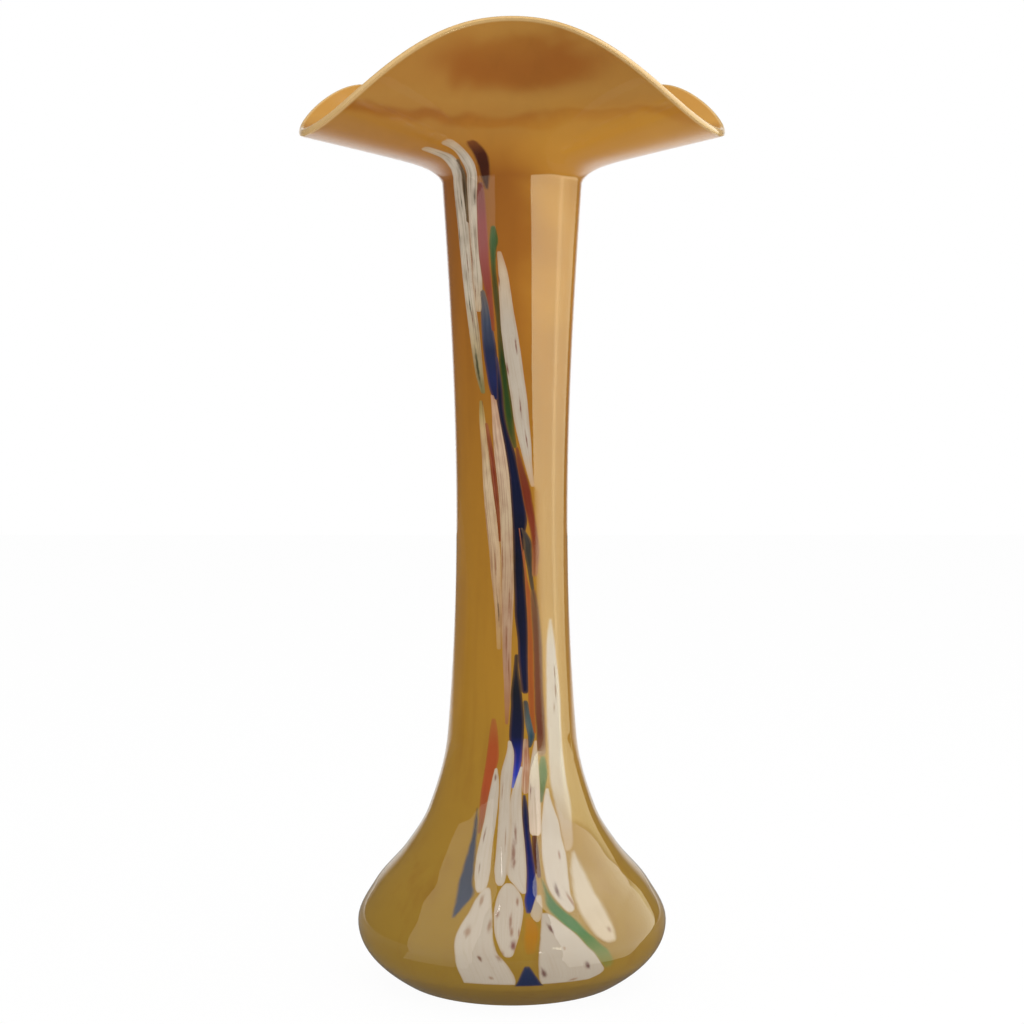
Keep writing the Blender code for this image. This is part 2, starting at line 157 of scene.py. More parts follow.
# The blown wall, where place runs from the foot's edge at -1 over the bulb at 0 and the neck's top at 1
# to the lip at 2
wall = dict(
    heights=(0.0219, 0.0360, 0.0500, 0.0650, 0.0950, 0.1800, 0.3140),
    radii=(0.0613, 0.0546, 0.0426, 0.0334, 0.0257, 0.02225, 0.0279),
    footRadius=0.0445,
    footCurve=2.15,
    footRun=0.0165,         # length of the wall below the bulb
    flareLength=0.0613,
    clearBulb=0.0030,
    clearLip=0.0015,
    amberBulb=0.0030,
    amberLip=0.0016,
    joint=0.00015,          # half of the drawn clearance, so the two glasses meet in its middle
    lap=0.0001,             # the clear glass reaches this far into the amber, so no air is left between
    clearEdge=0.0004,       # the clear glass thins away to this at the fire polished lip
    thinFrom=1.35,
    lipCurve=0.77,          # 1 makes the lip a half circle, less makes it flatter
    clearFloor=0.0095,
    amberFloor=0.0130,
    corner=0.0080,
    neckFrom=0.26,          # the place where the rows may be wider apart
    grading=1.5,            # rows gather at the foot's edge and at the flare's bend
    footRows=22,
    bulbRows=42,
    neckRows=58,
    flareRows=46,
    floorRows=8,
    turns=192,
    turnStep=0.002,         # to the point beside, which shows how the wall faces
    weld=2e-6,              # closes the seam, the poles and the tips
)
lip = {
    "Neck Slope": math.radians(86.1),
    "Bend": 0.0038,
    "Lobes": 3.0,
    "Dip Slope": math.radians(9.5),
    "Peak Slope": math.radians(49.9),
    "Front Lift": math.radians(10.8),
    "Lobe Shift": math.radians(6.0),
    "Fullness": 0.38,
}
rowLabels = ("radius", "height", "slope", "run", "depth")
heights = np.array(wall["heights"])
radii = np.array(wall["radii"])


# Slopes that keep the profile from swelling between its stations
def stationRates():
    steps = np.diff(heights)
    slopes = np.diff(radii) / steps
    found = np.zeros(len(heights))
    for i in range(1, len(steps)):
        if slopes[i - 1] * slopes[i] > 0:
            weight = (2 * steps[i] + steps[i - 1]) / slopes[i - 1] + (steps[i] + 2 * steps[i - 1]) / slopes[i]
            found[i] = 3 * (steps[i - 1] + steps[i]) / weight
    found[-1] = 1 / math.tan(lip["Neck Slope"])
    return found


rates = stationRates()


# Radius, height, slope and run along the flare of the outer skin
def outerRows(place):
    place = np.asarray(place, float)
    drop = np.clip(-place, 0, 1)
    height = heights[0] + np.clip(place, 0, 1) * (heights[-1] - heights[0])
    i = np.clip(np.searchsorted(heights, height, side="right") - 1, 0, len(heights) - 2)
    span = heights[i + 1] - heights[i]
    t = (height - heights[i]) / span
    low, swell = radii[i], radii[i + 1] - radii[i]
    radius = low + swell * (3 * t**2 - 2 * t**3)
    radius += span * ((t**3 - 2 * t**2 + t) * rates[i] + (t**3 - t**2) * rates[i + 1])
    rate = swell * 6 * (t - t**2) / span
    rate += (3 * t**2 - 4 * t + 1) * rates[i] + (3 * t**2 - 2 * t) * rates[i + 1]
    inward, curve = radii[0] - wall["footRadius"], wall["footCurve"]
    radius = radius - inward * drop**curve
    rate = np.where(place < 0, inward * curve * drop ** (curve - 1) / heights[0], rate)
    height = np.where(place < 0, heights[0] * (1 - drop), height)
    return radius, height, np.arctan2(1.0, rate), np.clip(place - 1, 0, 1) * wall["flareLength"]


def taper(place, bulbValue, lipValue):
    return bulbValue + (lipValue - bulbValue) * np.clip(np.asarray(place, float) / 2, 0, 1)


# Depths under the outer skin: the amber's skin, the inside of the clear glass and the bore
def skinDepth(place):
    clear = taper(place, wall["clearBulb"], wall["clearLip"]) + wall["joint"]
    share = np.clip((np.asarray(place, float) - wall["thinFrom"]) / (2 - wall["thinFrom"]), 0, 1) ** 2
    return clear + (wall["clearEdge"] - clear) * share


def clearDepth(place):
    return skinDepth(place) + wall["lap"]


def boreDepth(place):
    clear = taper(place, wall["clearBulb"], wall["clearLip"]) + 2 * wall["joint"]
    return clear + taper(place, wall["amberBulb"], wall["amberLip"])


# Rows of a surface that lies under the outer skin and turns a rounded corner into a floor below the bulb
def sunkRows(place, depthAt, floor):
    place = np.asarray(place, float)
    radius, height, slope, run = outerRows(place)
    depth = depthAt(place)
    t = np.clip(-place, 0, 1) * math.pi / 2
    fall = heights[0] - floor
    below = place < 0
    radius = np.where(below, radii[0] - depth - wall["corner"] * (1 - np.cos(t)), radius)
    height = np.where(below, heights[0] - fall * np.sin(t), height)
    slope = np.where(below, np.arctan2(fall * np.cos(t), wall["corner"] * np.sin(t)), slope)
    return np.array([radius, height, slope, run, np.where(below, 0.0, depth)])


def levelRows(reaches, height):
    reaches = np.asarray(reaches, float)
    still = np.zeros_like(reaches)
    return np.array([reaches, still + height, still + math.pi / 2, still, still])


def floorRows(depthAt, floor):
    reach = radii[0] - depthAt(0.0) - wall["corner"]
    return levelRows(np.linspace(0, 1, wall["floorRows"])[:-1] * reach, floor)


# The rounded lip from one depth under the outer skin to another, and the place on it at a depth
halfLip = boreDepth(2.0) / 2
lipTop = 2 - halfLip / wall["flareLength"]


def lipSweep(depth):
    side = np.clip(1 - depth / halfLip, -1, 1)
    return math.acos(math.copysign(abs(side) ** (1 / wall["lipCurve"]), side))


def lipPlace(sweep):
    return 2 - halfLip * (1 - np.abs(np.sin(sweep)) ** wall["lipCurve"]) / wall["flareLength"]


def lipRows(first, last, count):
    sweep = np.linspace(lipSweep(first), lipSweep(last), count)
    side = np.sign(np.cos(sweep)) * np.abs(np.cos(sweep)) ** wall["lipCurve"]
    return np.array([*outerRows(lipPlace(sweep)), halfLip * (1 - side)])


def wallPlaces(top):
    foot = -1 + np.linspace(0, 1, wall["footRows"]) ** wall["grading"]
    bulb = np.linspace(0, wall["neckFrom"], wall["bulbRows"])[1:]
    neck = np.linspace(wall["neckFrom"], 1, wall["neckRows"])[1:]
    flare = 1 + (top - 1) * np.linspace(0, 1, wall["flareRows"])[1:] ** wall["grading"]
    return np.concatenate([foot, bulb, neck, flare])


# Geometry Nodes: a point of the wall from its turn about the axis, its row and its run along the lobed flare
def lobedPointGroup():
    inputs = [(label, "Float") for label in ("Turn", "Radius", "Height", "Run", *lip)]
    outputs = [("Point", "Vector"), ("Slope", "Float")]
    tree, given, made = newGroup("lobedPoint", "GeometryNodeTree", inputs, outputs)
    turn, run = given["Turn"], given["Run"]
    turned = turn - given["Lobe Shift"] * turn.math("SINE")
    wave = (turned * given["Lobes"]).math("COSINE") * 0.5 + 0.5
    soft = (wave * -2.0 + 3.0) * (wave * wave)
    wave = (soft - wave) * given["Fullness"] + wave
    peak = turn.math("COSINE") * given["Front Lift"] + given["Peak Slope"]
    mouth = (peak - given["Dip Slope"]) * wave + given["Dip Slope"]
    swing = given["Neck Slope"] - mouth
    decay = (run * -1.0 / given["Bend"]).math("EXPONENT")
    bent = 1.0 - decay
    share = given["Bend"] * bent * 0.5
    out = run * mouth.math("COSINE")
    up = run * mouth.math("SINE")
    for gauss in (0.2113249, 0.7886751):     # two points of the curve stand for the whole bend
        lean = swing * 0.5 * (bent * -gauss + 1.0)
        middle = mouth + lean
        amount = swing * (lean.math("SINE") / lean) * share
        out = out - amount * middle.math("SINE")
        up = amount * middle.math("COSINE") + up
    feed(made["Point"], polarPoint(given["Radius"] + out, turn, given["Height"] + up))
    feed(made["Slope"], swing * decay + mouth)
    return tree


# Geometry Nodes: sets every point of a flat sheet of rows on the wall, closes it and gives it its glass
def blownWallTree():
    pointGroup = lobedPointGroup()
    inputs = [("Geometry", "Geometry"), *((label, "Float") for label in lip)]
    inputs += [("Skin Glass", "Material"), ("Bore Glass", "Material")]
    tree, given, made = newGroup("blownWall", "GeometryNodeTree", inputs, [("Geometry", "Geometry")])
    row = {}
    for label in (*rowLabels, "turn", "bore"):
        named = newNode(tree, "GeometryNodeInputNamedAttribute", {"Name": label}, data_type="FLOAT")
        row[label] = Wire(named.outputs["Attribute"])

    def wallPoint(turn):
        sockets = {"Turn": turn, "Radius": row["radius"], "Height": row["height"], "Run": row["run"]}
        sockets.update((label, given[label]) for label in lip)
        return wires(newNode(tree, "GeometryNodeGroup", sockets, node_tree=pointGroup))

    here = wallPoint(row["turn"])
    beside = wallPoint(row["turn"] + wall["turnStep"])
    onFlare = row["run"].math("GREATER_THAN", 1e-7)
    lean = (here["Slope"] - row["slope"]) * onFlare + row["slope"]
    upward = polarPoint(lean.math("COSINE"), row["turn"], lean.math("SINE"))
    aside = beside["Point"].vectorMath("SUBTRACT", here["Point"])
    facing = aside.vectorMath("CROSS_PRODUCT", upward).vectorMath("NORMALIZE")
    sink = addNode(tree, "ShaderNodeVectorMath", {0: facing, "Scale": row["depth"]}, operation="SCALE")
    sunk = here["Point"].vectorMath("SUBTRACT", sink)
    onBore = row["bore"].math("GREATER_THAN", 0.5)
    shape = given["Geometry"]
    for kind, sockets in (("SetPosition", {"Position": sunk}),
                          ("MergeByDistance", {"Distance": wall["weld"]}),
                          ("SetShadeSmooth", {}),
                          ("RealizeInstances", {}),
                          ("SetMaterial", {"Material": given["Skin Glass"]}),
                          ("SetMaterial", {"Material": given["Bore Glass"], "Selection": onBore})):
        shape = addNode(tree, "GeometryNode" + kind, {"Geometry": shape, **sockets}, "Geometry")
    feed(made["Geometry"], shape)
    return tree


blownWall = blownWallTree()


# Faces of one sheet of rows and columns of points
def sheetFaces(rows, columns, start=0, flipped=False):
    corner = start + np.arange(rows - 1)[:, None] * columns + np.arange(columns - 1)[None, :]
    faces = np.stack([corner, corner + 1, corner + columns + 1, corner + columns], axis=-1).reshape(-1, 4)
    return faces[:, ::-1] if flipped else faces


# Blows a flat sheet into its piece: values and vectors hold one entry for each point
def blowPiece(name, faces, values, vectors, skinGlass, boreGlass):
    mesh = bpy.data.meshes.new(name)
    mesh.from_pydata(np.zeros((len(values["turn"]), 3)).tolist(), [], faces.tolist())
    for label, data in values.items():
        mesh.attributes.new(label, "FLOAT", "POINT").data.foreach_set("value", data.astype(np.float32))
    for label, data in vectors.items():
        layer = mesh.attributes.new(label, "FLOAT_VECTOR", "POINT")
        layer.data.foreach_set("vector", data.astype(np.float32).ravel())
    piece = addObject(name, mesh)
    modifier = piece.modifiers.new("blownWall", "NODES")
    modifier.node_group = blownWall
    wanted = dict(lip, **{"Skin Glass": skinGlass, "Bore Glass": boreGlass})
    for item in blownWall.interface.items_tree:
        if item.item_type == "SOCKET" and item.in_out == "INPUT" and item.name in wanted:
            modifier[item.identifier] = wanted[item.name]
    graph = bpy.context.evaluated_depsgraph_get()
    shaped = bpy.data.meshes.new_from_object(
        piece.evaluated_get(graph), preserve_all_data_layers=True, depsgraph=graph)
    piece.modifiers.clear()
    piece.data = shaped
    shaped.name = name
    bpy.data.meshes.remove(mesh)
    return piece


# Shader group: amber, olive over the base, ochre up the neck and banded orange at the flare, softly streaked
# It paints shade in the front of the flare and light on the right side of the neck's top
# Its noises are scale, detail and, where it has one, distortion
amber = dict(
    span=0.37,
    waves=((26.0, 26.0, 30.0), 2.0),
    wobble=0.010,
    stops=((0.0, (139, 110, 42)), (0.135, (150, 116, 44)), (0.30, (164, 120, 42)), (0.52, (162, 112, 38)),
           (0.73, (156, 98, 34)), (0.85, (150, 92, 34)), (0.882, (172, 112, 38)), (0.900, (164, 104, 36)),
           (0.910, (152, 90, 32)), (0.922, (166, 116, 54)), (0.934, (154, 94, 36)), (0.956, (152, 92, 36)),
           (0.980, (160, 104, 42)), (1.0, (168, 116, 50))),
    fineStreaks=((230.0, 230.0, 16.0), 3.0),
    wideStreaks=((45.0, 45.0, 22.0), 2.0),
    streakRange=(0.50, 0.75),
    streak=0.30,
    darker=(120, 74, 26),
    turned=((30.0, 30.0, 46.0), 1.5, 0.8),    # noise that wobbles the painted shade pool, the darker band and the painted light on the neck
    driftRise=0.014,
    driftAside=0.02,
    # painted shade: the front of the flare is darker where it is shaded
    shadePool=dict(height=0.3525, tall=0.0100, aside=0.003, wide=0.032, soft=(0.60, 1.30), front=(-0.02, -0.005)),
    band=dict(height=0.3345, soft=(0.0006, 0.0030), share=0.75),
    golden=(176, 128, 60),                    # the rest of the flare
    goldenRange=(0.314, 0.338),
    goldenShare=0.75,
    paintedLight=(200, 144, 56),                     # painted light: the right side of the neck's top is lighter where light falls from the right
    paintedLightRise=(0.20, 0.30),
    paintedLightEnd=(0.325, 0.345),
    paintedLightAside=(-0.003, 0.022),
    paintedLightShare=0.70,
    # the lip's pale tint: thinner amber, and partly painted light from above
    edge=(206, 170, 114),
    edgeRange=(0.0017, 0.0009),               # distances from the lip
    inside=(216, 166, 84),
    skin=dict(shine=0.0, roughness=0.4, lit=0.0),
    bore=dict(shine=0.5, roughness=0.08, lit=0.32),
)


def amberGroup():
    tree, given, made = newGroup("amberGlass", "ShaderNodeTree", [], [("Color", "Color")])
    where, split = coordinates(tree)
    height = (where.noise(*amber["waves"]) - 0.5) * amber["wobble"] + split["Z"]
    color = (height / amber["span"]).ramp(amber["stops"])
    streaks = where.noise(*amber["wideStreaks"]) * 0.5 + where.noise(*amber["fineStreaks"]) * 0.5
    streaks = streaks.fade(*amber["streakRange"], 0.0, amber["streak"], "LINEAR")
    color = color.mixed(streaks, tint(*amber["darker"]))
    drift = where.noise(*amber["turned"]) - 0.5
    rise = drift * amber["driftRise"] + split["Z"]
    aside = drift * amber["driftAside"] + split["X"]
    shadePool, band = amber["shadePool"], amber["band"]
    high = (rise - shadePool["height"]) / shadePool["tall"]
    wide = (aside - shadePool["aside"]) / shadePool["wide"]
    # painted shade: a darker pool in the front of the flare, and a darker band across it
    dark = (high * high + wide * wide).math("SQRT").fade(*shadePool["soft"], 1.0, 0.0)
    dark = dark * split["Y"].fade(*shadePool["front"], 1.0, 0.0)
    apart = (rise - band["height"]).math("ABSOLUTE")
    dark = dark.math("MAXIMUM", apart.fade(*band["soft"], band["share"], 0.0))
    golden = (1.0 - dark) * split["Z"].fade(*amber["goldenRange"], 0.0, amber["goldenShare"])
    color = color.mixed(golden, tint(*amber["golden"]))
    # painted light on the right side of the neck's top
    tall = rise.fade(*amber["paintedLightRise"]) * rise.fade(*amber["paintedLightEnd"], 1.0, 0.0)
    paintedLight = tall * aside.fade(*amber["paintedLightAside"], 0.0, amber["paintedLightShare"])
    feed(made["Color"], color.mixed(paintedLight, tint(*amber["paintedLight"])))
    return tree


amberGlass = amberGroup()


# Shader group: coloured glass laid into the amber, drawn out, with specks, a warm rim and soft edges
# Its noises are scale, per millimetre across and along a chip, and detail
chipGlass = dict(
    lines=((1.9, 0.05, 7.0), 3.0),
    lineRange=(0.47, 0.66),
    lineShare=0.7,
    clouds=((0.22, 0.12, 9.0), 2.0),
    cloudRange=(0.35, 0.75),
    cloudShare=0.5,
    ragged=((1.1, 0.5, 3.0), 3.0),
    raggedDepth=0.7,
    markRange=(0.05, 1.0),
    markShare=0.9,
    wander=((0.9, 0.35, 5.0), 2.0),
    wanderDepth=0.5,
    warm=(176, 122, 52),
    warmShare=0.35,
    thinRange=(0.2, 1.6),       # millimetres from the border, as in rimRange
    thinShare=0.22,
    rimRange=(0.25, 0.6),
    roughness=0.4,
)


def laidGroup():
    inputs = [(label, "Color") for label in ("Tone", "Streak Color", "Speck Color", "Slit Color")]
    inputs += [(label, "Float") for label in ("Streak", "Feather", "Rim")]
    tree, given, made = newGroup("laidGlass", "ShaderNodeTree", inputs, [("Color", "Color")])
    flow = attribute(tree, "flow", "Vector")

    def unrest(label):
        return (flow.noise(*chipGlass[label]) - 0.5) * chipGlass[label + "Depth"]

    lines = flow.noise(*chipGlass["lines"]).fade(*chipGlass["lineRange"], 0.0, chipGlass["lineShare"])
    clouds = flow.noise(*chipGlass["clouds"]).fade(*chipGlass["cloudRange"], 0.0, chipGlass["cloudShare"])
    color = given["Tone"].mixed((clouds + lines) * given["Streak"], given["Streak Color"])
    ragged = unrest("ragged")
    for label in ("speck", "slit"):
        mark = attribute(tree, label) + ragged
        spots = mark.fade(*chipGlass["markRange"], 0.0, chipGlass["markShare"])
        color = color.mixed(spots, given[label.title() + " Color"])
    border = unrest("wander") * given["Feather"] + attribute(tree, "edge")
    around = addNode(tree, "ShaderNodeGroup", (), "Color", node_tree=amberGlass)
    warm = around.mixed(chipGlass["warmShare"], tint(*chipGlass["warm"]))
    thin = border.fade(*chipGlass["thinRange"], chipGlass["thinShare"], 0.0)
    rim = border.fade(*chipGlass["rimRange"], 1.0, 0.0) * given["Rim"]
    color = color.mixed(thin.math("MAXIMUM", rim), warm)
    feed(made["Color"], around.mixed(border.fade(0.0, given["Feather"]), color))
    return tree


laidGlass = laidGroup()


# Materials
def newMaterial(name):
    material = bpy.data.materials.new(name)
    material.use_nodes = True
    tree = material.node_tree
    shader = next(node for node in tree.nodes if node.type == "BSDF_PRINCIPLED")
    return material, tree, shader


def mixSurface(tree, share, first, second):
    mix = addNode(tree, "ShaderNodeMixShader", {0: share, 1: first, 2: second})
    output = next(node for node in tree.nodes if node.type == "OUTPUT_MATERIAL")
    feed(output.inputs["Surface"], mix)


def amberMaterial(name, shine, roughness, lit):
    material, tree, shader = newMaterial(name)
    color = addNode(tree, "ShaderNodeGroup", (), "Color", node_tree=amberGlass)
    color = color.mixed(lit, tint(*amber["inside"]))              # light comes through the flare
    start, end = (wall["flareLength"] - gap for gap in amber["edgeRange"])
    nearLip = attribute(tree, "run").fade(start, end)             # the drawn out lip is thin and so paler, and the pale tint is partly painted light from above
    color = color.mixed(nearLip, tint(*amber["edge"]))
    setInputs(shader, {"Base Color": color, "Roughness": roughness, "Specular IOR Level": shine})
    return material


crystal = dict(
    color=(0.985, 0.98, 0.96, 1.0),
    roughness=0.015,
    index=1.5,
    waves=((24.0, 24.0, 16.0), 0.0),        # the slow waviness of a hand blown surface
    waveStrength=0.2,
    waveDepth=0.0012,
)


def clearMaterial():
    material, tree, shader = newMaterial("clearCrystal")
    waves = addNode(tree, "ShaderNodeTexCoord", (), "Object").noise(*crystal["waves"])
    bump = {"Strength": crystal["waveStrength"], "Distance": crystal["waveDepth"], "Height": waves}
    setInputs(shader, {"Base Color": crystal["color"], "Roughness": crystal["roughness"],
                       "IOR": crystal["index"], "Transmission Weight": 1.0,
                       "Normal": addNode(tree, "ShaderNodeBump", bump)})
    path = wires(newNode(tree, "ShaderNodeLightPath"))
    lamps = path["Is Shadow Ray"].math("MAXIMUM", path["Is Diffuse Ray"])
    mixSurface(tree, lamps, wires(shader)["BSDF"], addNode(tree, "ShaderNodeBsdfTransparent"))
    return material


def inlayMaterial(chip):
    material, tree, shader = newMaterial(chip["name"] + "Glass")
    inputs = {"Tone": attribute(tree, "along").ramp(chip["tones"])}
    for label in ("streak", "speck", "slit"):
        inputs[label.title() + " Color"] = tint(*chip[label + "Color"])
    for label in ("streak", "feather", "rim"):
        inputs[label.title()] = chip[label]
    color = addNode(tree, "ShaderNodeGroup", inputs, "Color", node_tree=laidGlass)
    setInputs(shader, {"Base Color": color, "Roughness": chipGlass["roughness"], "Specular IOR Level": 0.0})
    return material


def finishPiece(piece, node):
    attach(piece, "root")
    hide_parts(node)


def shellPiece(name, rows, boreFrom, skinGlass, boreGlass):
    columns = wall["turns"] + 1
    count = rows.shape[1]
    values = {label: np.repeat(data, columns) for label, data in zip(rowLabels, rows)}
    values["turn"] = np.tile(np.linspace(-math.pi, math.pi, columns), count)
    values["bore"] = np.repeat((np.arange(count) >= boreFrom).astype(float), columns)
    return blowPiece(name, sheetFaces(count, columns), values, {}, skinGlass, boreGlass)


# The two shells
shells = dict(
    skinTop=lipPlace(lipSweep(skinDepth(2.0))),         # the place where the amber's skin turns over the lip
    amberShort=0.0005,                                  # rows on the way to it end this far before it
    clearShort=0.0025,
    amberLipRows=14,
    clearLipRows=9,
    footReaches=(0.0, 0.012, 0.024, 0.034, 0.041, 0.0441),
)


# The amber lining, a closed bubble with its own floor
def buildLining():
    skin = amberMaterial("amberSkin", **amber["skin"])
    bore = amberMaterial("amberBore", **amber["bore"])
    floor = floorRows(skinDepth, wall["clearFloor"])
    outer = sunkRows(wallPlaces(shells["skinTop"] - shells["amberShort"]), skinDepth, wall["clearFloor"])
    overLip = lipRows(skinDepth(2.0), boreDepth(2.0), shells["amberLipRows"])
    inner = sunkRows(wallPlaces(lipTop)[::-1], boreDepth, wall["amberFloor"])
    well = floorRows(boreDepth, wall["amberFloor"])[:, ::-1]
    rows = np.concatenate([floor, outer, overLip, inner[:, 1:], well], axis=1)
    boreFrom = floor.shape[1] + outer.shape[1] + 1
    piece = shellPiece("amber_lining_glass", rows, boreFrom, skin, bore)
    finishPiece(piece, "amber_lining")
    return piece


# The clear casing with its thick ground base
def buildCasing():
    clear = clearMaterial()
    foot = levelRows(shells["footReaches"], 0.0)
    places = wallPlaces(lipTop)
    outer = np.array([*outerRows(places), np.zeros(len(places))])
    overLip = lipRows(0.0, skinDepth(2.0), shells["clearLipRows"])
    floor = wall["clearFloor"] + wall["lap"]
    inner = sunkRows(wallPlaces(shells["skinTop"] - shells["clearShort"])[::-1], clearDepth, floor)
    well = floorRows(clearDepth, floor)[:, ::-1]
    rows = np.concatenate([foot, outer, overLip[:, 1:], inner, well], axis=1)
    piece = shellPiece("clear_casing_glass", rows, rows.shape[1], clear, clear)
    finishPiece(piece, "clear_casing")
    return piece


lining = buildLining()
print("lining:", len(lining.data.polygons), "faces")
casing = buildCasing()
print("casing:", len(casing.data.polygons), "faces")


